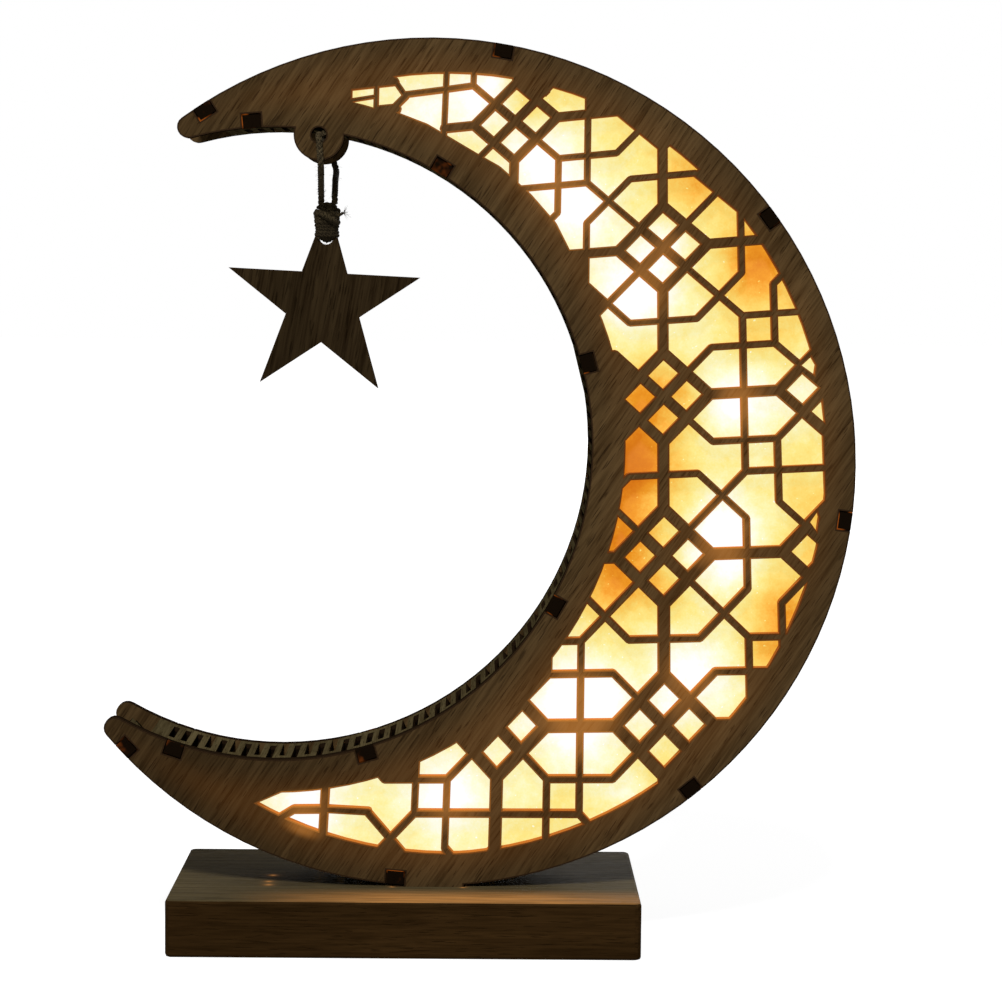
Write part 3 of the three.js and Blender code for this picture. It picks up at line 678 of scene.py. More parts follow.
DIM_PATCHES = (
    Patch(9.0, 46.0, 15.0, -0.54),
    Patch(-15.0, 48.0, 14.0, -0.37),
    Patch(26.0, 53.0, 11.0, -0.28),
    Patch(39.0, 91.0, 12.0, -0.42),
    Patch(55.0, 91.0, 11.0, -0.28),
    Patch(-15.0, 92.0, 13.0, -0.32),
    Patch(0.0, 94.0, 11.0, -0.20),
    Patch(-21.0, 62.0, 9.0, -0.16),
    Patch(-45.0, 92.0, 9.0, -0.12),
    Patch(82.0, 87.0, 6.0, -0.20),
    Patch(29.0, 82.0, 6.0, -0.16),
    Patch(23.0, 62.0, 6.0, -0.16),
    Patch(-22.0, 91.0, 6.0, -0.22),
    Patch(-27.0, 53.0, 8.0, -0.18),
    Patch(-61.0, 85.0, 5.0, -0.14),
)


def flat_place(w: Wiring) -> Socket:
    """The point on the surface without its depth."""
    x, _, z = w.split(w.place())
    return w.joined(x, 0.0, z)


def light_level(w: Wiring) -> Socket:
    """How brightly the lamps behind light a point of the moon, from 0 for orange to 1 for white.

    Args:
        w: The material's wiring.

    Returns:
        The level.
    """
    flat = flat_place(w)
    total = EVEN_LIGHT
    for patch in (*LIT_PATCHES, *DIM_PATCHES):
        pool = pooled(w, flat, patch.centre(), patch.reach * MM, patch.strength)
        total = w.math("ADD", total, pool)
    return total


@dataclass(frozen=True)
class GlowFinish:
    """The frosted film, lit from behind."""

    name: str = "lit_film"
    film: Colour = (0.16, 0.08, 0.02)
    edge: Colour = (0.24, 0.048, 0.005)
    strength: float = 1.07
    frosting: float = 0.06
    clouds: tuple[float, float] = (-0.04, 0.06)
    glints: float = 0.25
    back_shade: float = 0.85
    edge_span: tuple[float, float] = (-0.5 * MM, 3.0 * MM)
    stops: tuple[tuple[float, Colour], ...] = (
        (0.0, (0.54, 0.13, 0.003)),
        (0.12, (0.62, 0.17, 0.005)),
        (0.26, (0.75, 0.275, 0.014)),
        (0.38, (0.83, 0.44, 0.058)),
        (0.5, (0.84, 0.59, 0.126)),
        (0.62, (0.85, 0.72, 0.228)),
        (0.74, (0.86, 0.82, 0.416)),
        (0.87, (0.88, 0.89, 0.69)),
        (1.0, (0.95, 0.95, 0.95)),
    )

    def material(self) -> bpy.types.Material:
        """The film's material.

        Returns:
            The material.
        """
        material, w, shader = principled(self.name, 0.55, 0.1, self.strength)
        span = {"Low": -self.frosting, "High": self.frosting}
        frost = use_effect(w, Effect.SPECKLE, Vector=w.place(), Scale=520.0, **span)
        cloud = w.remap(w.noise(w.place(), 95.0, 3.0), 0.3, 0.7, *self.clouds)
        glint = w.remap(w.noise(w.place(), 1100.0, 1.0), 0.70, 0.78, 0.0, self.glints)
        uneven = w.math("ADD", w.math("ADD", frost["Value"], cloud), glint)
        glow = w.ramp(w.math("ADD", light_level(w), uneven), self.stops)
        glow = w.mix(in_window(w, *self.edge_span), self.edge, glow)
        behind = w.remap(w.split(w.normal())[1], -0.5, 0.5, 0.0, self.back_shade)
        w.put(shader.inputs["Emission Color"], w.mix(behind, glow, BLACK))
        body = w.mix(frost["Height"], self.film, tuple(0.8 * c for c in self.film))
        w.put(shader.inputs["Base Color"], body)
        bump(w, shader, frost["Height"], 0.05 * MM, 0.5)
        return material


def in_window(w: Wiring, inside: float, outside: float) -> Socket:
    """1 in the panel's window and 0 on its border.

    Args:
        w: The material's wiring.
        inside: Where it is 1, in metres inwards from the window's edge.
        outside: Where it is 0, in metres outwards from it.

    Returns:
        The mask.
    """
    flat = flat_place(w)
    out = w.vector("DISTANCE", flat, tuple(MOON_CENTRE)).outputs["Value"]
    mouth = w.vector("DISTANCE", flat, tuple(MOUTH_CENTRE)).outputs["Value"]
    within = w.remap(out, WINDOW_OUT + outside, WINDOW_OUT - inside)
    beyond = w.remap(mouth, WINDOW_IN - outside, WINDOW_IN + inside)
    return w.math("MULTIPLY", within, beyond)


@dataclass(frozen=True)
class LatticeFinish(PlyFinish):
    """The front panel: painted light from behind on its window's walls and thin bars, and round the
    window.
    """

    lit_wall_colour: Colour = (0.34, 0.10, 0.014)
    halo: Colour = (0.36, 0.13, 0.022)
    spill: Colour = (0.034, 0.010, 0.0008)
    halo_span: tuple[float, float] = (1.5 * MM, 0.8 * MM)
    spill_span: tuple[float, float] = (2.0 * MM, 6.5 * MM)
    # Painted shade: across, up, reach and strength of each darker pool on the panel's face.
    painted_shade_pools: tuple[tuple[float, float, float, float], ...] = (
        (-52.0, 42.0, 55.0, 0.42),
        (-78.0, 200.0, 30.0, 0.34),
    )

    def with_painted_shade(self, w: Wiring, colour: Socket) -> Socket:
        """The grain's colour with painted shade toward the moon's two tips.

        Args:
            w: The material's wiring.
            colour: The grain's colour.

        Returns:
            The darkened colour.
        """
        tone = 1.0
        for across, up, reach, strength in self.painted_shade_pools:
            pool = pooled(w, flat_place(w), lamp_xz(across, up), reach * MM, strength)
            tone = w.math("SUBTRACT", tone, pool)
        return w.mix(tone, BLACK, colour)

    def material(self) -> bpy.types.Material:
        """The front panel's material.

        Returns:
            The material.
        """
        material, w, shader = principled(self.name, glow=1.0)
        grain = self.grain(w)
        walled = in_window(w, *LIT_WALLS)
        level = light_level(w)
        edge = self.walls(
            w,
            self.with_painted_shade(w, grain["Color"]),
            self.layers(w),
            # Painted light: inside the window the walls' char and layer colours are the film's lit
            # orange.
            Char=w.mix(walled, self.char, self.lit_wall_colour),
            Layer=w.mix(walled, self.layer, self.lit_wall_colour),
        )
        self.close(w, shader, edge["Color"], grain["Height"])
        # Painted light: spill and halo of the film's glow on the face round the window, and the
        # walls' glow, as emission.
        far = in_window(w, *self.spill_span)
        spilt = w.math("MULTIPLY", far, w.remap(level, 0.1, 0.9, 0.25, 1.0))
        near = in_window(w, *self.halo_span)
        haloed = w.math("MULTIPLY", near, w.remap(level, 0.78, 1.12, 0.0, 0.8))
        walls = w.math("MULTIPLY", edge["Wall"], walled)
        lit = w.math("MULTIPLY", walls, w.remap(level, 0.0, 1.1, 0.15, 0.75))
        shine = w.mix(spilt, BLACK, self.spill)
        shine = w.mix(haloed, shine, self.halo)
        w.put(shader.inputs["Emission Color"], w.mix(lit, shine, self.halo))
        return material


@dataclass(frozen=True)
class ScorchFinish:
    """The thin line scorched beside a cut, with painted glow from behind round the window."""

    name: str = "scorched_line"
    char: Colour = (0.016, 0.008, 0.003)
    painted_glow: Colour = (0.085, 0.020, 0.0015)
    bright: Colour = (0.42, 0.155, 0.026)

    def material(self) -> bpy.types.Material:
        """The line's material.

        Returns:
            The material.
        """
        material, w, shader = principled(self.name, 0.8, 0.05, 1.0)
        fleck = w.noise(w.place(), 1600.0, 2.0)
        pale = tuple(2.2 * c for c in self.char)
        w.put(shader.inputs["Base Color"], w.mix(fleck, self.char, pale))
        # Painted light: inside the window the line glows as emission, brighter where the film is
        # brighter.
        shine = w.mix(w.remap(light_level(w), 0.55, 1.1), self.painted_glow, self.bright)
        inside = in_window(w, *LIT_WALLS)
        w.put(shader.inputs["Emission Color"], w.mix(inside, BLACK, shine))
        bump(w, shader, fleck, 0.03 * MM, 0.5)
        return material


@dataclass(frozen=True)
class SeamFinish:
    """The dark seam round a tab, where a little light gets out at the front."""

    name: str = "tab_seam"
    char: Colour = (0.010, 0.005, 0.002)
    painted_glow: Colour = (0.24, 0.055, 0.006)

    def material(self) -> bpy.types.Material:
        """The seam's material.

        Returns:
            The material.
        """
        material, w, shader = principled(self.name, 0.85, 0.0, 1.0)
        fleck = w.noise(w.place(), 900.0, 2.0)
        pale = tuple(2.0 * c for c in self.char)
        w.put(shader.inputs["Base Color"], w.mix(fleck, self.char, pale))
        # Painted light: the light getting out at the seam's front is mottled emission.
        front = w.remap(w.split(w.place())[1], 0.0, -1.0 * MM)
        leak = w.math("MULTIPLY", w.remap(w.noise(w.place(), 230.0, 1.0), 0.52, 0.68), front)
        w.put(shader.inputs["Emission Color"], w.mix(leak, BLACK, self.painted_glow))
        bump(w, shader, fleck, 0.05 * MM, 0.5)
        return material


@dataclass(frozen=True)
class BandFinish(PlyFinish):
    """A kerf-bent band: plain wood on its two faces, scorched walls in its slits, and painted glow
    on its tabs.
    """

    painted_glow: Colour = (0.085, 0.018, 0.002)
    radius: float = 90 * MM
    tab_span: tuple[float, float] = (10.05 * MM, 10.4 * MM)

    def material(self, centre: Vector) -> bpy.types.Material:
        """The band's material.

        Args:
            centre: The middle of the circle that the band is bent round.

        Returns:
            The material.
        """
        material, w, shader = principled(self.name, glow=1.0)
        out = w.vector("SUBTRACT", w.place(), tuple(centre)).outputs[0]
        x, y, z = w.split(out)
        flat = w.vector("MULTIPLY", out, (1.0, 0.0, 1.0)).outputs[0]
        radial = w.vector("NORMALIZE", flat).outputs[0]
        facing = w.math("ABSOLUTE", w.vector("DOT_PRODUCT", w.normal(), radial).outputs["Value"])
        length = w.vector("LENGTH", flat).outputs["Value"]
        along = w.math("MULTIPLY", w.math("ARCTAN2", z, x), self.radius)
        grain = self.grain(w, w.joined(y, along, length))
        depth = w.math("DIVIDE", length, self.veneer)
        edge = self.walls(w, grain["Color"], (facing, depth))
        tab = w.remap(w.math("ABSOLUTE", y), *self.tab_span)
        colour = w.mix(tab, edge["Color"], self.char)
        self.close(w, shader, colour, grain["Height"])
        # Painted light: a mottled glow on the tab ends as emission, where light gets out round
        # them.
        mottle = w.remap(w.noise(w.place(), 260.0, 2.0), 0.58, 0.76)
        shine = w.mix(w.math("MULTIPLY", tab, mottle), BLACK, self.painted_glow)
        w.put(shader.inputs["Emission Color"], shine)
        return material


@dataclass(frozen=True)
class BaseFinish(WoodFinish):
    """The base block: painted sheen and painted top light on its top, and the lamp's light painted
    along the top's front.

    The leaks are the spots of light beside the tenons: across, to the back, and reach.
    """

    glow: Colour = (0.34, 0.135, 0.030)
    # Painted sheen and top light: how much lighter and greyer upward faces are than the sides.
    painted_top_sheen: Colour = (2.0, 3.0, 4.6)
    top: float = 13.5 * MM
    lit_front: tuple[float, float] = (-14.5 * MM, -27.0 * MM)
    lit_left: tuple[float, float] = (-44.0 * MM, 2.0 * MM)
    lit_right: tuple[float, float] = (26.0 * MM, 58.0 * MM)
    leak_strength: float = 0.9
    leaks: tuple[Point, ...] = (
        (-32.3, -1.6, 0.9),
        (-32.8, -8.6, 1.0),
        (-32.6, -12.2, 1.1),
        (13.7, -13.6, 0.8),
        (-3.1, -13.6, 0.7),
    )

    def material(self) -> bpy.types.Material:
        """The block's material.

        Returns:
            The material.
        """
        material, w, shader = principled(self.name, glow=1.0)
        grain = self.grain(w)
        upward = w.remap(w.split(w.normal())[2], 0.7, 0.95)
        # Painted sheen and top light: the top's colour is lifted in place of a real grazing sheen
        # and light from above.
        painted_sheen_colour = w.mix(1.0, grain["Color"], self.painted_top_sheen, "MULTIPLY")
        self.close(w, shader, w.mix(upward, grain["Color"], painted_sheen_colour), grain["Height"])
        # Painted light: the lamp's glow along the top's front and the leaks beside the tenons are
        # emission.
        x, y, _ = w.split(w.place())
        strip = w.math("MULTIPLY", w.remap(y, *self.lit_front), w.remap(x, *self.lit_left))
        right = w.remap(x, *self.lit_right, 1.0, 0.5)
        strip = w.math("MULTIPLY", strip, w.math("MULTIPLY", right, upward))
        streaks = w.remap(w.streaks(w.place(), (60.0, 900.0, 900.0), 3.0), 0.3, 0.7, 0.6, 1.15)
        strip = w.math("MULTIPLY", strip, streaks)
        for across, back, reach in self.leaks:
            centre = (across * MM, back * MM, self.top)
            pool = pooled(w, w.place(), centre, reach * MM, self.leak_strength)
            strip = w.math("ADD", strip, w.math("MULTIPLY", pool, upward))
        w.put(shader.inputs["Emission Color"], w.mix(strip, BLACK, self.glow))
        return material


@dataclass(frozen=True)
class TwineFinish:
    """Twisted jute with light and dark fibres."""

    name: str = "jute_twine"
    light: Colour = (0.100, 0.074, 0.036)
    dark: Colour = (0.012, 0.008, 0.0035)
    # Painted shade: how far back the strands darken, and the heights from the ears where the
    # binding darkens.
    rear_shade: float = 4.0 * MM
    binding_shade: tuple[float, float] = (-18.2 * MM, -20.4 * MM)

    def material(self) -> bpy.types.Material:
        """The twine's material, with painted shade to the back and where it binds the star's top.

        Returns:
            The material.
        """
        material, w, shader = principled(self.name, 0.9, 0.1)
        stretched = w.turned(w.place(), (0.35, 0.5, 0.0), (1.0, 1.0, 0.28))
        fibre = w.noise(stretched, 5200.0, 3.0)
        blot = w.noise(w.place(), 420.0, 2.0)
        colour = w.mix(w.remap(fibre, 0.34, 0.66), self.dark, self.light)
        colour = w.mix(w.remap(blot, 0.45, 0.75, 0.0, 0.5), colour, self.dark)
        _, back, up = w.split(w.place())
        # Painted shade: darker toward the back and over the binding.
        colour = w.mix(w.remap(back, 0.0, self.rear_shade, 0.0, 0.55), colour, self.dark)
        binding_shade = w.remap(up, *(EAR.z + height for height in self.binding_shade), 0.0, 0.72)
        w.put(shader.inputs["Base Color"], w.mix(binding_shade, colour, self.dark))
        bump(w, shader, fibre, 0.08 * MM, 0.9)
        return material


@dataclass(frozen=True)
class PlainFinish:
    """Moulded plastic, metal or resin with fine unevenness."""

    name: str
    colour: Colour
    second: Colour
    roughness: float = 0.5
    metallic: float = 0.0
    scale: float = 2500.0
    relief: float = 0.02 * MM
    glow: Colour = BLACK
    glow_strength: float = 0.0

    def material(self) -> bpy.types.Material:
        """The finish's material.

        Returns:
            The material.
        """
        material, w, shader = principled(self.name, glow=self.glow_strength)
        span = {"Low": self.roughness - 0.08, "High": self.roughness + 0.1}
        speck = use_effect(w, Effect.SPECKLE, Vector=w.place(), Scale=self.scale, **span)
        dust = w.remap(w.noise(w.place(), 90.0, 4.0), 0.42, 0.72)
        w.put(shader.inputs["Base Color"], w.mix(dust, self.colour, self.second))
        w.put(shader.inputs["Roughness"], speck["Value"])
        shader.inputs["Metallic"].default_value = self.metallic
        bump(w, shader, speck["Height"], self.relief, 0.6)
        if self.glow_strength:
            core = w.mix(dust, self.glow, tuple(0.9 * c for c in self.glow))
            w.put(shader.inputs["Emission Color"], core)
        return material


@dataclass(frozen=True)
class CellFinish:
    """A cell's printed sleeve and its bare metal ends.

    Its foot and head are its ends' heights, and its rims are the bare metal at the nub's end
    and at the flat end.
    """

    name: str
    foot: float
    head: float
    sleeve: Colour = (0.03, 0.036, 0.048)
    stripe: Colour = (0.30, 0.115, 0.035)
    metal: Colour = (0.60, 0.59, 0.56)
    rims: tuple[float, float] = (1.3 * MM, 0.3 * MM)
    band: float = 11 * MM
    soft: float = 0.05 * MM

    def material(self, head_up: bool) -> bpy.types.Material:
        """The cell's material.

        Args:
            head_up: Whether the nub is at the upper end.

        Returns:
            The material.
        """
        material, w, shader = principled(self.name)
        _, _, z = w.split(w.place())
        top, bottom = self.rims if head_up else reversed(self.rims)
        above = w.remap(z, self.head - top - self.soft, self.head - top + self.soft)
        below = w.remap(z, self.foot + bottom + self.soft, self.foot + bottom - self.soft)
        bare = w.math("ADD", above, below, clamp=True)
        start = self.head - self.band if head_up else self.foot + self.band
        way = 2 * self.soft if head_up else -2 * self.soft
        banded = w.remap(z, start - way, start + way)
        colour = w.mix(bare, w.mix(banded, self.sleeve, self.stripe), self.metal)
        scratch = w.remap(w.noise(w.place(), 1500.0, 3.0), 0.4, 0.7, 0.85, 1.0)
        w.put(shader.inputs["Base Color"], w.mix(scratch, (0.02, 0.02, 0.02), colour))
        w.put(shader.inputs["Metallic"], bare)
        speck = use_effect(w, Effect.SPECKLE, Vector=w.place(), Scale=900.0, Low=0.24, High=0.42)
        w.put(shader.inputs["Roughness"], speck["Value"])
        bump(w, shader, speck["Height"], 0.01 * MM, 0.5)
        return material


PANEL = (
    GrainHeading.DIAGONAL,
    (0.100, 0.060, 0.024),
    (0.037, 0.020, 0.007),
    (0.013, 0.0065, 0.0025),
)
LATTICE_WOOD = LatticeFinish("lattice_panel_wood", *PANEL)
PANEL_WOOD = PlyFinish("back_panel_wood", *PANEL)
BAND_WOOD = BandFinish(
    "kerf_band_wood",
    GrainHeading.LEVEL,
    light=(0.088, 0.068, 0.031),
    dark=(0.036, 0.025, 0.010),
    pore=(0.012, 0.007, 0.003),
)
STAR_WOOD = PlyFinish(
    "star_wood",
    GrainHeading.UPRIGHT,
    light=(0.036, 0.023, 0.010),
    dark=(0.011, 0.006, 0.0025),
    pore=(0.005, 0.0025, 0.001),
    face=1.5 * MM,
)
BASE_WOOD = BaseFinish(
    "base_wood",
    GrainHeading.LEVEL,
    light=(0.043, 0.0215, 0.0066),
    dark=(0.021, 0.0102, 0.003),
    pore=(0.017, 0.0085, 0.0025),
    bands=0.35,
    roughness=0.5,
    gloss=0.0015,
)
SCORCHED = ScorchFinish()
SEAM = SeamFinish()
FILM = GlowFinish()
TWINE = TwineFinish()
RESIN = PlainFinish(
    "light_resin",
    (0.9, 0.8, 0.6),
    (0.8, 0.68, 0.45),
    0.2,
    glow=(1.0, 0.72, 0.38),
    glow_strength=8.0,
)
WIRE = PlainFinish("enamelled_wire", (0.45, 0.17, 0.07), (0.33, 0.11, 0.04), 0.3, 0.9, 1800.0)
BLACK_PLASTIC = PlainFinish("black_plastic", (0.016, 0.016, 0.017), (0.03, 0.03, 0.031), 0.45)
GREY_PLASTIC = PlainFinish("grey_plastic", (0.22, 0.22, 0.22), (0.16, 0.16, 0.165), 0.45)
NICKEL = PlainFinish("contact_steel", (0.62, 0.61, 0.58), (0.48, 0.47, 0.44), 0.28, 1.0, 1500.0)
MARK_PAINT = PlainFinish("mark_paint", (0.46, 0.46, 0.45), (0.36, 0.36, 0.355), 0.6)


def dress(node: bpy.types.Object, material: bpy.types.Material) -> None:
    """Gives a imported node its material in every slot."""
    for slot in node.material_slots:
        slot.material = material


# --------------------------------------------------------------------------
# Making meshes
# --------------------------------------------------------------------------
def keep_piece(
    piece: bpy.types.Object, body: str, material: bpy.types.Material
) -> bpy.types.Object:
    """Dresses a new piece, puts it on its body and reports it.

    Args:
        piece: The new object, already in place.
        body: The body that carries it.
        material: Its material.

    Returns:
        The piece.
    """
    piece.data.materials.clear()
    piece.data.materials.append(material)
    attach(piece, body)
    LOG.info("%s rides on %s", piece.name, body)
    return piece


def mesh_piece(name: str, points: np.ndarray, faces: list[tuple[int, ...]]) -> bpy.types.Object:
    """An object from points and faces.

    Args:
        name: The piece's name.
        points: Its points, in metres.
        faces: Its faces, as point numbers.

    Returns:
        The object.
    """
    mesh = bpy.data.meshes.new(name)
    mesh.from_pydata([tuple(p) for p in points], [], faces)
    mesh.update()
    made = bpy.data.objects.new(name, mesh)
    bpy.context.scene.collection.objects.link(made)
    return made


def smooth_line(points: Sequence[Sequence[float]], step: float) -> np.ndarray:
    """A Catmull-Rom line through points, resampled evenly.

    Args:
        points: The points, in metres.
        step: The distance between the new points.

    Returns:
        The new points.
    """
    p = np.array(points, float)
    ends = np.vstack([2 * p[0] - p[1], p, 2 * p[-1] - p[-2]])
    fine = []
    for a, b, c, d in zip(ends[:-3], ends[1:-2], ends[2:-1], ends[3:]):
        square, cube = 2 * a - 5 * b + 4 * c - d, 3 * b - a - 3 * c + d
        for t in np.linspace(0, 1, 16, endpoint=False):
            fine.append(0.5 * (2 * b + (c - a) * t + square * t**2 + cube * t**3))
    fine.append(p[-1])
    line = np.array(fine)
    along = np.concatenate([[0], np.cumsum(np.linalg.norm(np.diff(line, axis=0), axis=1))])
    at = np.linspace(0, along[-1], max(4, int(along[-1] / step)))
    return np.stack([np.interp(at, along, line[:, k]) for k in range(3)], axis=1)


def headings(line: np.ndarray) -> np.ndarray:
    """A line's direction at each of its points."""
    heading = np.gradient(line, axis=0)
    return heading / np.linalg.norm(heading, axis=1)[:, None]


def carried_frames(line: np.ndarray) -> tuple[np.ndarray, np.ndarray]:
    """Two directions across a line at each of its points, carried along without twist.

    Args:
        line: The line's points.

    Returns:
        The first and the second direction at each point.
    """
    heading = headings(line)
    aside = (0.3, 0.8, 0.5)  # no line starts that way
    start = np.cross(heading[0], aside)
    first = [start / np.linalg.norm(start)]
    for t in heading[1:]:
        v = first[-1] - t * np.dot(first[-1], t)
        first.append(v / np.linalg.norm(v))
    one = np.array(first)
    return one, np.cross(heading, one)


def tube_mesh(line: np.ndarray, radius: np.ndarray, sides: int) -> Mesh:
    """A closed tube round a line.

    Args:
        line: The line's points.
        radius: The radius at each point.
        sides: How many sides it has.

    Returns:
        Its points and its faces.
    """
    one, two = carried_frames(line)
    turn = np.linspace(0, 2 * math.pi, sides, endpoint=False)
    ring = one[:, None] * np.cos(turn)[None, :, None] + two[:, None] * np.sin(turn)[None, :, None]
    points = (line[:, None] + ring * radius[:, None, None]).reshape(-1, 3)
    faces = []
    for i in range(len(line) - 1):
        for k in range(sides):
            a, b = i * sides + k, i * sides + (k + 1) % sides
            faces.append((a, b, b + sides, a + sides))
    faces.append(tuple(range(sides - 1, -1, -1)))
    last = (len(line) - 1) * sides
    faces.append(tuple(range(last, last + sides)))
    return points, faces


def fibre_mesh(
    start: np.ndarray, run: np.ndarray, bow: np.ndarray, radii: tuple[float, float]
) -> Mesh:
    """A loose fibre.

    Args:
        start: Where it begins.
        run: How far it runs straight on.
        bow: How far it bends aside by its end.
        radii: Its radius at both ends, in millimetres.

    Returns:
        Its points and its faces.
    """
    steps = np.linspace(0, 1, 5)[:, None]
    return tube_mesh(start + run * steps + bow * steps**2, np.linspace(*radii, 5) * MM, 3)


def join_meshes(parts: Iterable[Mesh]) -> Mesh:
    """Several meshes as one list of points and faces.

    Args:
        parts: The meshes.

    Returns:
        All their points and faces.
    """
    points, faces, count = [], [], 0
    for p, f in parts:
        points.append(p)
        faces.extend(tuple(i + count for i in face) for face in f)
        count += len(p)
    return np.vstack(points), faces


# --------------------------------------------------------------------------
# Twine
# --------------------------------------------------------------------------
@dataclass
class Rope:
    """Twine laid from plies, with loose fibres."""

    diameter: float = 1.5 * MM
    plies: int = 3
    lay: float = 3.4 * MM
    step: float = 0.2 * MM
    sides: int = 8
    seed: int = 7
    squeeze: float = 1.12  # the plies press into each other
    fibre_root: float = 0.42  # of the diameter, from the line's middle
    fibre_shares: tuple[float, float, float] = (0.55, 0.6, 0.5)  # outwards, along and curling
    fibre_radii: tuple[float, float] = (0.035, 0.012)  # in millimetres, at both ends

    def strands(self, line: np.ndarray) -> list[Mesh]:
        """The plies along a line.

        Args:
            line: Evenly spaced points.

        Returns:
            Each ply's points and faces.
        """
        one, two = carried_frames(line)
        ply = 0.25 * self.diameter
        offset = 0.5 * self.diameter - ply
        along = np.arange(len(line)) * self.step
        thick = np.full(len(line), ply * self.squeeze)
        made = []
        for k in range(self.plies):
            turn = 2 * math.pi * (along / self.lay + k / self.plies)
            middle = line + offset * (one * np.cos(turn)[:, None] + two * np.sin(turn)[:, None])
            made.append(tube_mesh(middle, thick, self.sides))
        return made

    def fibres(self, line: np.ndarray, count: int, reach: float) -> list[Mesh]:
        """Loose fibres that stand off a line.

        Args:
            line: The rope's line.
            count: How many.
            reach: How far they stand off, in millimetres.

        Returns:
            Each fibre's points and faces.
        """
        draw = random.Random(self.seed)
        off, on, bend = self.fibre_shares
        one, two = carried_frames(line)
        heading = headings(line)
        made = []
        for _ in range(count):
            i = draw.randrange(2, len(line) - 2)
            turn = draw.uniform(0, 2 * math.pi)
            out = one[i] * math.cos(turn) + two[i] * math.sin(turn)
            curl = two[i] * math.cos(turn) - one[i] * math.sin(turn)
            start = line[i] + out * self.diameter * self.fibre_root
            long = reach * MM * draw.uniform(0.4, 1.0)
            way = draw.choice((-1, 1))
            run = long * (off * out + on * way * heading[i])
            made.append(fibre_mesh(start, run, bend * long * curl, self.fibre_radii))
        return made


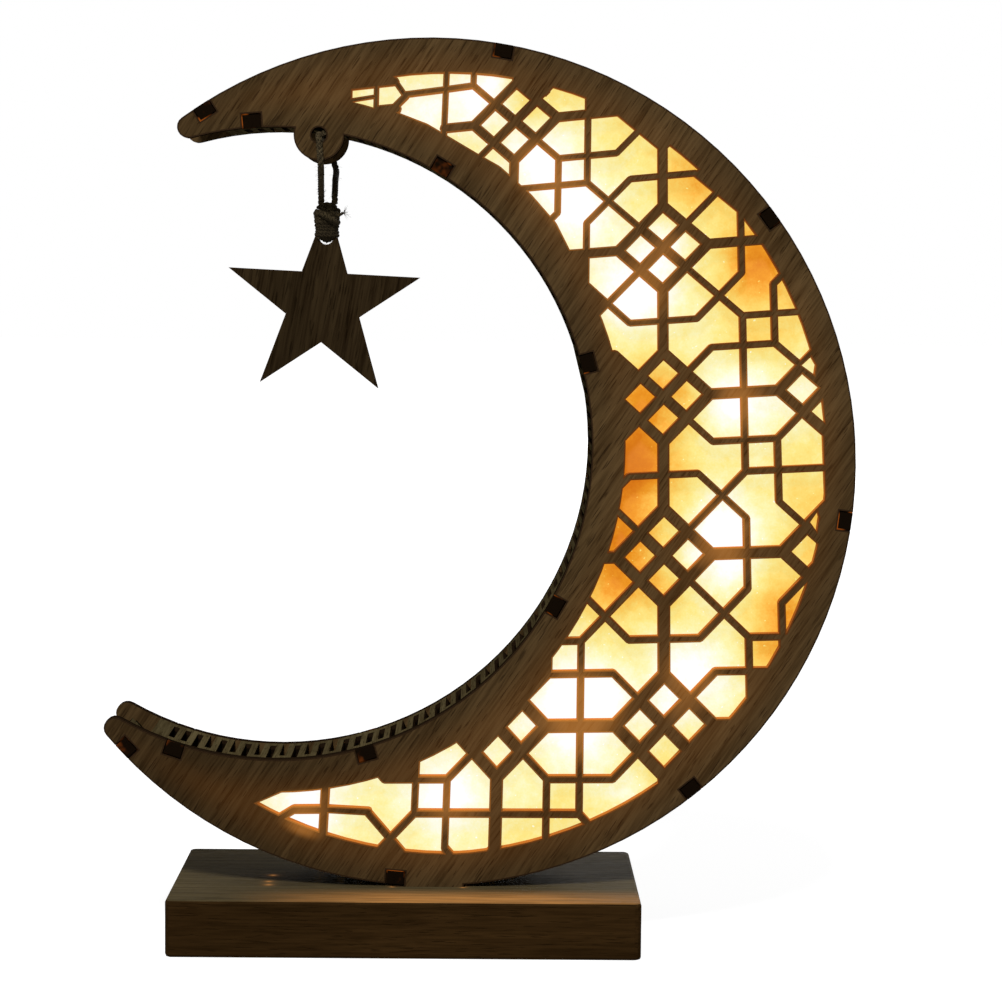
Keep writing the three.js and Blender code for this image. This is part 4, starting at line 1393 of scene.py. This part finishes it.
@dataclass
class Pendant:
    """The twine that carries the star, from the ears to the star's hole.

    Its sizes are in millimetres, and its heights and points are from the ears' holes. What
    ends in frays is how many fibres stand off a piece, and how far.
    """

    rope: Rope
    ear: Vector
    panel_face: float = 13.0
    gap: float = 0.3
    radius: float = 0.75
    ear_radius: float = 5.9
    strand_end: float = 15.0
    lean: tuple[float, float] = (0.5, 2.7)
    foot: tuple[float, float] = (-0.1, 3.1)
    knot_x: float = 1.3
    knot_size: tuple[float, float] = (6.3, 5.4)
    knot_span: tuple[float, float] = (-20.6, -17.2)
    binding_half: tuple[float, float] = (2.4, 2.15)
    hole_z: float = -23.35
    tied: tuple[tuple[float, float], ...] = (
        (-1.2, -0.5),
        (-0.6, -0.87),
        (0.0, -1.03),
        (0.6, -0.88),
        (1.2, -0.5),
    )
    core_turns: float = 3.2
    binding_turns: float = 4.4
    swell: float = 0.05
    wander: float = 0.12
    roundness: float = 0.7
    frayed: float = -2.5
    loop_frays: tuple[int, float] = (42, 1.6)
    turn_frays: tuple[int, float] = (8, 1.2)
    core_frays: tuple[int, float] = (26, 1.4)
    binding_frays: tuple[int, float] = (18, 0.9)
    tie_frays: tuple[int, float] = (9, 0.9)
    tuft_fibres: int = 22
    tucked_end: tuple[Point, ...] = (
        (1.0, -12.7, 0.35),
        (1.15, -12.0, 0.15),
        (1.15, -11.4, 0.0),
        (1.1, -10.8, -0.15),
    )

    def at(self, x: float, y: float, z: float) -> Point:
        """A point given in millimetres from the ears' holes."""
        return tuple(self.ear + Vector((x, y, z)) * MM)

    def through(self, points: Iterable[Point], cord: Rope | None = None) -> np.ndarray:
        """A smooth line through points.

        Args:
            points: The points, in millimetres from the ears' holes.
            cord: The twine that is laid along it, where it isn't the loop's.

        Returns:
            The line's points.
        """
        return smooth_line([self.at(*point) for point in points], (cord or self.rope).step)

    def piece(
        self, node: str, body: str, parts: Iterable[Mesh], twine: bpy.types.Material
    ) -> bpy.types.Object:
        """Puts a piece of twine in place of a packed cord.

        Args:
            node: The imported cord.
            body: The body that carries it.
            parts: The piece's meshes.
            twine: Its material.

        Returns:
            The piece.
        """
        made = mesh_piece(f"{node}_rope", *join_meshes(parts))
        keep_piece(made, body, twine)
        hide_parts(node)
        return made

    def loop_route(self) -> list[Point]:
        """The loop's route, from the front strand's foot up through the ears and down behind.

        Returns:
            Its points.
        """
        out = self.panel_face + self.gap + self.radius
        over = self.gap + 1.5 * self.radius
        under = self.ear_radius + self.gap + self.radius

        def strand(side: int, lean: float, foot: float) -> list[Point]:
            """One strand, from the middle of the ears down to the knot.

            Args:
                side: -1 for the front and 1 for the back.
                lean: How far it leans aside under the ear.
                foot: How far aside it ends.

            Returns:
                Its points.
            """
            half = [
                (0, self.panel_face - 6, 0),
                (0, out - over, 0),
                (0, out - 0.3 * over, -0.3 * over),
                (lean / 4, out, -over),
                (lean / 2, out, -under / 2),
                (lean, out - 0.2, -under),
                ((lean + foot) / 2, out / 2, -0.45 * (under + self.strand_end)),
                (foot, 1.2, 2 - self.strand_end),
                (foot, 0, 1 - self.strand_end),
                (foot, 0, -self.strand_end - 0.6),
            ]
            return [(x, side * y, z) for x, y, z in half]

        front = strand(-1, self.lean[0], self.foot[0])
        return [*reversed(front), *strand(1, self.lean[1], self.foot[1])]

    def loop(self, twine: bpy.types.Material) -> tuple[bpy.types.Object, np.ndarray]:
        """The loop through both ears, frayed where it hangs, with its end tucked in the front ear.

        Args:
            twine: Its material.

        Returns:
            The piece and the loop's line.
        """
        line = self.through(self.loop_route())
        parts = self.rope.strands(line)
        hanging = np.flatnonzero(line[:, 2] < self.ear.z + self.frayed * MM)
        split = int(np.argmax(np.diff(hanging))) + 1
        for run in (hanging[:split], hanging[split:]):
            parts += self.rope.fibres(line[run[0] : run[-1] + 1], *self.loop_frays)
        parts += self.rope.strands(self.through(self.tucked_end))
        return self.piece("twine_loop", "twine_loop", parts, twine), line

    def turn(self, twine: bpy.types.Material) -> bpy.types.Object:
        """The turn of twine across the loop's foot, in its packed cord's box.

        Args:
            twine: Its material.

        Returns:
            The piece.
        """
        low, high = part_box("twine_turn")
        middle = (low + high) / 2
        half = (high.x - low.x) / 2
        radius = (high.z - low.z) / 2
        route = [
            (middle.x + half * across, middle.y + back * MM, middle.z + radius * up)
            for across, back, up in (
                (-0.62, 0.5, -0.8),
                (-0.50, 0.0, -0.2),
                (0.0, -0.2, 0.1),
                (0.50, 0.0, -0.2),
                (0.62, 0.5, -0.8),
            )
        ]
        line = smooth_line(route, self.rope.step)
        parts = [*self.rope.strands(line), *self.rope.fibres(line, *self.turn_frays)]
        return self.piece("twine_turn", "twine_turn", parts, twine)

    def wound(
        self,
        cord: Rope,
        turns: float,
        z: tuple[float, float],
        half: tuple[float, float],
        start: float = 0.0,
    ) -> np.ndarray:
        """The line of twine wound round the knot or the star's top.

        Args:
            cord: The twine.
            turns: How many turns.
            z: The first and the last turn's height.
            half: The turns' half width and half depth.
            start: Where the first turn begins, in radians.

        Returns:
            The line's points.
        """
        route = []
        for share in np.linspace(0, 1, int(18 * turns)):
            angle = start + share * turns * 2 * math.pi
            swell = 1 + self.swell * math.sin(2.3 * angle + 0.7)
            height = z[0] + (z[1] - z[0]) * share + self.wander * math.sin(angle + 0.6)
            side, deep = (
                math.copysign(abs(part) ** self.roundness, part)
                for part in (math.cos(angle), math.sin(angle))
            )
            route.append((self.knot_x + half[0] * swell * side, half[1] * deep, height))
        return self.through(route, cord)

    def knot(self, twine: bpy.types.Material) -> bpy.types.Object:
        """The knot, the turns that bind the star's top, the tie and the frayed end.

        Args:
            twine: Its material.

        Returns:
            The piece.
        """
        foot, head = self.knot_span
        middle = (foot + head) / 2
        half = (self.knot_size[0] / 2 - self.radius, self.knot_size[1] / 2 - self.radius)
        core = self.wound(self.rope, self.core_turns, (head - 0.25, foot + 0.3), half)
        parts = [*self.rope.strands(core), *self.rope.fibres(core, *self.core_frays)]
        across = [
            (self.knot_x - 2.4, -1.9, middle + 1.3),
            (self.knot_x - 1.0, -2.9, middle + 0.9),
            (self.knot_x + 0.7, -3.1, middle - 0.1),
            (self.knot_x + 1.9, -2.5, middle - 1.1),
            (self.knot_x + 2.4, -1.5, middle - 1.7),
        ]
        parts += self.rope.strands(self.through(across))
        fill = Rope(diameter=3.6 * MM, plies=4, lay=9 * MM, step=0.3 * MM, sides=8)
        stem = [(self.knot_x, 0, head + 0.45), (self.knot_x, 0, foot)]
        parts += fill.strands(self.through(stem, fill))
        binding = Rope(diameter=0.95 * MM, lay=2.6 * MM, sides=6, seed=5)
        span = (foot + 0.05, foot - 3.1)
        turns = self.wound(binding, self.binding_turns, span, self.binding_half, 0.5 * math.pi)
        parts += [*binding.strands(turns), *binding.fibres(turns, *self.binding_frays)]
        parts += self.tie()
        tail = self.through(
            [
                (self.knot_x + 1.9, -1.5, middle + 0.3),
                (self.knot_x + 3.0, -1.6, middle + 0.6),
                (self.knot_x + 3.9, -1.5, middle + 1.1),
            ]
        )
        parts += Rope(diameter=0.7 * MM, lay=3 * MM).strands(tail)
        parts += self.tuft(tail[-1])
        return self.piece("twine_knot", "star", parts, twine)

    def tie(self) -> list[Mesh]:
        """The strands from under the binding, through the star's hole and up its back.

        Returns:
            Their meshes.
        """
        cord = Rope(diameter=0.95 * MM, lay=3.2 * MM, seed=5)
        top, hole = self.knot_span[0] - 2.2, self.hole_z
        parts = []
        for across, drop in self.tied:
            x = self.knot_x + across
            half = [
                (self.knot_x + 0.8 * across, 2.15, top),
                (x, 2.1, hole + 0.9),
                (x, 1.7, hole + 0.25 + 0.5 * drop),
                (x, 0.8, hole + drop),
            ]
            front = [(x, -y, z) for x, y, z in half]
            line = self.through([*front, *reversed(half)], cord)
            parts += [*cord.strands(line), *cord.fibres(line, *self.tie_frays)]
        return parts

    def tuft(self, end: np.ndarray) -> list[Mesh]:
        """The fibres of the loose end.

        Args:
            end: Where it ends.

        Returns:
            Their meshes.
        """
        draw = random.Random(11)
        made = []
        for _ in range(self.tuft_fibres):
            spread = ((0.4, 1.0), (-0.5, 0.5), (-0.8, 0.8))
            way = np.array([draw.uniform(*limits) for limits in spread])
            long = draw.uniform(0.8, 2.0) * MM
            bow = np.array((0, 0, draw.uniform(-0.5, 0.5)))
            made.append(fibre_mesh(end, long * way, long * bow, (0.05, 0.015)))
        return made

    def build(self) -> None:
        twine = TWINE.material()
        loop, line = self.loop(twine)
        turn = self.turn(twine)
        knot = self.knot(twine)


# --------------------------------------------------------------------------
# Scorched lines
# --------------------------------------------------------------------------
@dataclass(frozen=True)
class ScorchLines:
    """The thin lines that a laser scorches into a sheet's face beside every cut.

    A width below 0 puts them outside the outlines, as the seams round a band's tabs, and
    span is how near to the centre and how far from it they may reach.
    """

    node: str
    body: str
    slot: str
    side: int
    width: float = 0.34 * MM
    lift: float = 0.02 * MM
    what: str = "scorch"
    centre: Vector = MOON_CENTRE
    span: tuple[float, float] = (0.0, 1.0)
    grid: float = 0.001 * MM

    def rims(self, mesh: bpy.types.Mesh) -> list[np.ndarray]:
        """The closed outlines of the sheet's outer face.

        Args:
            mesh: The sheet's mesh.

        Returns:
            Each outline's points across and up, with the face on the left, seen from the front.
        """
        y = [v.co.y for v in mesh.vertices]
        plane = min(y) if self.side < 0 else max(y)
        edges = set()
        for face in mesh.polygons:
            corners = [mesh.vertices[i].co for i in face.vertices]
            if any(abs(c.y - plane) > 0.01 * MM for c in corners):
                continue
            keys = [(round(c.x / self.grid), round(c.z / self.grid)) for c in corners]
            if self.side > 0:
                keys.reverse()
            edges.update(zip(keys, keys[1:] + keys[:1]))
        after = {a: b for a, b in sorted(edges) if (b, a) not in edges}
        loops = []
        while after:
            first = next(iter(after))
            loop, at = [first], after.pop(first)
            while at != first and at in after:
                loop.append(at)
                at = after.pop(at)
            loops.append(np.array(loop, float) * self.grid)
        return [loop for loop in loops if len(loop) > 2]

    def strip(self, loop: np.ndarray, plane: float) -> Mesh:
        """A narrow strip inside one outline.

        Args:
            loop: The outline.
            plane: The strip's place to the back.

        Returns:
            Its points and its faces.
        """
        ahead = np.roll(loop, -1, axis=0) - loop
        ahead /= np.linalg.norm(ahead, axis=1)[:, None]
        inward = np.stack([-ahead[:, 1], ahead[:, 0]], axis=1)
        before = np.roll(inward, 1, axis=0)
        spread = np.maximum(1 + (inward * before).sum(axis=1), 0.4)
        inner = loop + self.width * (inward + before) / spread[:, None]
        out = inner - (self.centre.x, self.centre.z)
        reach = np.linalg.norm(out, axis=1)
        inner = inner + out * (np.clip(reach, *self.span) / reach - 1)[:, None]
        both = np.vstack([loop, inner])
        points = np.stack([both[:, 0], np.full(len(both), plane), both[:, 1]], axis=1)
        n = len(loop)
        wide = np.linalg.norm(inner - loop, axis=1) > 0.1 * abs(self.width)
        sides = ((i, (i + 1) % n) for i in range(n))
        faces = [(i, k, n + k, n + i) for i, k in sides if wide[i] or wide[k]]
        if (self.side > 0) != (self.width < 0):
            faces = [tuple(reversed(face)) for face in faces]
        return points, faces

    def build(
        self, nodes: dict[str, bpy.types.Object], material: bpy.types.Material
    ) -> bpy.types.Object:
        """Adds the lines on one sheet.

        Args:
            nodes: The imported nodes, by name.
            material: The lines' material.

        Returns:
            The piece.
        """
        mesh = nodes[self.node].data
        low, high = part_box(self.node)
        plane = (low.y if self.side < 0 else high.y) + self.side * self.lift
        strips = join_meshes(self.strip(loop, plane) for loop in self.rims(mesh))
        made = mesh_piece(f"{self.node}_{self.what}", *strips)
        return keep_piece(made, self.body, material)


# --------------------------------------------------------------------------
# Sub-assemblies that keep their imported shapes
# --------------------------------------------------------------------------
@dataclass
class Moon:
    """The crescent: panels, bands, film and lights."""

    nodes: dict[str, bpy.types.Object]
    light_count: int = 10
    star_scorch: float = 0.2 * MM
    seam_width: float = -0.42 * MM
    seam_lift: float = -0.5 * MM

    def build(self) -> None:
        """Dresses the crescent's nodes."""
        dress(self.nodes["front_panel"], LATTICE_WOOD.material())
        dress(self.nodes["back_panel"], PANEL_WOOD.cut())
        dress(self.nodes["outer_band"], BAND_WOOD.material(MOON_CENTRE))
        dress(self.nodes["inner_band"], BAND_WOOD.material(MOUTH_CENTRE))
        dress(self.nodes["diffuser_sheet"], FILM.material())
        resin = RESIN.material()
        for i in range(self.light_count):
            dress(self.nodes[f"light_{i + 1}"], resin)
        wire = WIRE.material()
        dress(self.nodes["light_string"], wire)
        dress(self.nodes["supply_wire"], wire)
        scorched = SCORCHED.material()
        ScorchLines("front_panel", "lamp", "panel_wood", -1).build(self.nodes, scorched)
        ScorchLines("back_panel", "lamp", "panel_wood", 1).build(self.nodes, scorched)
        star = ScorchLines("wooden_star", "star", "star_wood", -1, self.star_scorch)
        star.build(self.nodes, scorched)
        seam = SEAM.material()
        for band, centre, span in (
            ("outer_band", MOON_CENTRE, (0.0, OUTER_RIM)),
            ("inner_band", MOUTH_CENTRE, (MOUTH_RIM, 1.0)),
        ):
            size = (self.seam_width, self.seam_lift)
            for side, what in ((-1, "front_seams"), (1, "back_seams")):
                lines = ScorchLines(band, "lamp", "band_wood", side, *size, what, centre, span)
                lines.build(self.nodes, seam)


@dataclass
class BatteryBox:
    """The battery box with its cover, cells, contacts and switch."""

    nodes: dict[str, bpy.types.Object]
    grip_height: float = 0.6 * MM
    arrow_radius: float = 2.6 * MM
    arrow_relief: float = 0.35 * MM
    arrow_bevel: float = 0.15 * MM
    arrow_drop: float = 8 * MM
    letter_size: float = 2.3 * MM
    letter_relief: float = 0.06 * MM
    on_gap: float = 4.4 * MM
    off_gap: float = 4.9 * MM

    @staticmethod
    def settled(name: str) -> bpy.types.Object:
        """The active object with its place in its mesh, and a new name.

        Args:
            name: The new name.

        Returns:
            The object.
        """
        made = bpy.context.active_object
        bpy.ops.object.transform_apply(location=True, rotation=True, scale=True)
        made.name = name
        return made

    def arrow(self, black: bpy.types.Material) -> None:
        """Models the raised arrow that shows which way the cover slides.

        Args:
            black: The cover's material.
        """
        low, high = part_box("battery_cover")
        face = high.y - self.grip_height
        bpy.ops.object.select_all(action="DESELECT")
        bpy.ops.mesh.primitive_cylinder_add(
            vertices=3,
            radius=self.arrow_radius,
            depth=2 * self.arrow_relief,
            location=((low.x + high.x) / 2, face, high.z - self.arrow_drop),
            rotation=(-math.pi / 2, 0, 0),
        )
        made = self.settled("cover_arrow")
        bpy.ops.object.mode_set(mode="EDIT")
        bpy.ops.mesh.select_all(action="SELECT")
        bpy.ops.mesh.bevel(offset=self.arrow_bevel, segments=2, affect="EDGES")
        bpy.ops.object.mode_set(mode="OBJECT")
        keep_piece(made, "battery_cover", black)

    def letters(self, word: str, across: float, paint: bpy.types.Material) -> None:
        """Models a word beside the switch.

        Args:
            word: The word.
            across: Its middle, in metres to the right.
            paint: Its material.
        """
        low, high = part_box("switch_knob")
        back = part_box("battery_case")[1].y
        bpy.ops.object.select_all(action="DESELECT")
        place = (across, back, (low.z + high.z) / 2)
        bpy.ops.object.text_add(location=place, rotation=(math.pi / 2, 0, math.pi))
        text = bpy.context.active_object.data
        text.body = word
        text.size = self.letter_size
        text.align_x = "CENTER"
        text.align_y = "CENTER"
        text.extrude = self.letter_relief
        bpy.ops.object.convert(target="MESH")
        keep_piece(self.settled(f"switch_{word.lower()}_mark"), "lamp", paint)

    def build(self) -> None:
        """Dresses the box's nodes and adds its marks."""
        black, grey, nickel = (f.material() for f in (BLACK_PLASTIC, GREY_PLASTIC, NICKEL))
        finishes = dict.fromkeys(("battery_case", "battery_cover"), black)
        finishes |= dict.fromkeys(("switch_body", "switch_knob"), grey)
        for name, head_up in (("cell_1", True), ("cell_2", False)):
            low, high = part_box(name)
            finishes[name] = CellFinish(f"{name}_sleeve", low.z, high.z).material(head_up)
        for name, node in self.nodes.items():
            if name.startswith(("contact_", "case_screw")):
                dress(node, nickel)
            elif name in finishes:
                dress(node, finishes[name])
        self.arrow(black)
        paint = MARK_PAINT.material()
        low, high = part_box("switch_knob")
        self.letters("ON", high.x + self.on_gap, paint)
        self.letters("OFF", low.x - self.off_gap, paint)


# --------------------------------------------------------------------------
# Studio
# --------------------------------------------------------------------------
@dataclass(frozen=True)
class Softbox:
    """A large square light."""

    name: str
    place: Point
    size: float
    power: float

    def build(self, aim: Vector) -> None:
        """Adds the light, turned to the point given.

        Args:
            aim: The point.
        """
        data = bpy.data.lights.new(self.name, "AREA")
        data.shape = "SQUARE"
        data.size = self.size
        data.energy = self.power
        made = bpy.data.objects.new(self.name, data)
        bpy.context.scene.collection.objects.link(made)
        made.location = self.place
        made.rotation_euler = (aim - made.location).to_track_quat("-Z", "Y").to_euler()


@dataclass
class Studio:
    """The camera, the floor and a soft plain light."""

    eye: Point = (0.0155, -0.6727, 0.1587)
    pitch: float = 4.59
    yaw: float = 0.56
    roll: float = 0.52
    sensor: float = 36.0
    focal: float = 2810.0 / 1002.0 * sensor
    aim: Point = (0.0, 0.0, 0.1)
    ambient: float = 0.16
    floor_colour: float = 0.30
    floor_size: float = 12.0
    floor_lift: tuple[float, float] = (0.90, 1.05)
    floor_span: tuple[float, float] = (0.35, 1.8)
    boxes: tuple[Softbox, ...] = (
        Softbox("key_softbox", (-0.15, -1.15, 1.5), 0.32, 32.0),
        Softbox("back_softbox", (0.5, 1.9, 0.65), 1.0, 20.0),
    )

    def camera(self) -> None:
        """Adds the camera at the photograph's place."""
        pitch, yaw, roll = (math.radians(a) for a in (self.pitch, self.yaw, self.roll))
        ahead = math.cos(pitch)
        forward = Vector((math.sin(yaw) * ahead, math.cos(yaw) * ahead, -math.sin(pitch)))
        level = Vector((math.cos(yaw), -math.sin(yaw), 0.0))
        upright = level.cross(forward)
        right = math.cos(roll) * level + math.sin(roll) * upright
        up = math.cos(roll) * upright - math.sin(roll) * level
        data = bpy.data.cameras.new("camera")
        data.lens = self.focal
        data.sensor_width = self.sensor
        data.clip_start = 0.01
        made = bpy.data.objects.new("camera", data)
        bpy.context.scene.collection.objects.link(made)
        turn = Matrix((right, up, -forward)).transposed()
        made.matrix_world = Matrix.Translation(self.eye) @ turn.to_4x4()
        bpy.context.scene.camera = made

    def world(self) -> None:
        """A white background with a plainer light behind it."""
        world = bpy.data.worlds.new("studio")
        bpy.context.scene.world = world
        world.use_nodes = True
        w = Wiring(world.node_tree)
        world.node_tree.nodes.clear()
        plain, white = w.node("ShaderNodeBackground"), w.node("ShaderNodeBackground")
        w.put(plain.inputs["Color"], (1.0, 1.0, 1.0))
        plain.inputs["Strength"].default_value = self.ambient
        w.put(white.inputs["Color"], (1.0, 1.0, 1.0))
        pick = w.node("ShaderNodeMixShader")
        w.put(pick.inputs[0], self.seen(w))
        w.put(pick.inputs[1], plain.outputs[0])
        w.put(pick.inputs[2], white.outputs[0])
        w.put(w.node("ShaderNodeOutputWorld").inputs["Surface"], pick.outputs[0])

    @staticmethod
    def seen(w: Wiring) -> Socket:
        """1 for a ray that shows the background, straight, mirrored or through glass.

        Args:
            w: The material's wiring.

        Returns:
            The mask.
        """
        path = w.node("ShaderNodeLightPath")
        either = w.math("MAXIMUM", path.outputs["Is Camera Ray"], path.outputs["Is Glossy Ray"])
        return w.math("MAXIMUM", either, path.outputs["Is Transmission Ray"])

    def floor(self) -> None:
        """A pale floor that keeps the lamp's shadow."""
        bpy.ops.object.select_all(action="DESELECT")
        bpy.ops.mesh.primitive_plane_add(size=self.floor_size, location=(0, 0, 0))
        made = bpy.context.active_object
        made.name = "floor"
        material = bpy.data.materials.new("pale_floor")
        material.use_nodes = True
        w = Wiring(material.node_tree)
        material.node_tree.nodes.clear()
        matt = w.node("ShaderNodeBsdfDiffuse")
        w.put(matt.inputs["Color"], (self.floor_colour,) * 3)
        lift = w.node("ShaderNodeEmission")
        away = w.vector("LENGTH", w.place()).outputs["Value"]
        level = w.remap(away, *self.floor_span, *self.floor_lift)
        w.put(lift.inputs["Strength"], w.math("MULTIPLY", self.seen(w), level))
        both = w.node("ShaderNodeAddShader")
        w.put(both.inputs[0], matt.outputs[0])
        w.put(both.inputs[1], lift.outputs[0])
        w.put(w.node("ShaderNodeOutputMaterial").inputs["Surface"], both.outputs[0])
        made.data.materials.append(material)

    def build(self) -> None:
        """Sets up the whole studio."""
        self.camera()
        self.world()
        self.floor()
        for box in self.boxes:
            box.build(Vector(self.aim))
        bpy.context.scene.view_settings.view_transform = "Standard"


def main() -> None:
    """Builds and dresses the night light."""
    logging.basicConfig(level=logging.INFO, format="%(name)s: %(message)s")
    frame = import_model()
    nodes = frame["nodes"]
    build_effects()
    Studio().build()
    Pendant(Rope(), EAR).build()
    Moon(nodes).build()
    BatteryBox(nodes).build()
    dress(nodes["wooden_star"], STAR_WOOD.cut())
    dress(nodes["base_block"], BASE_WOOD.material())


if __name__ == "__main__":
    main()
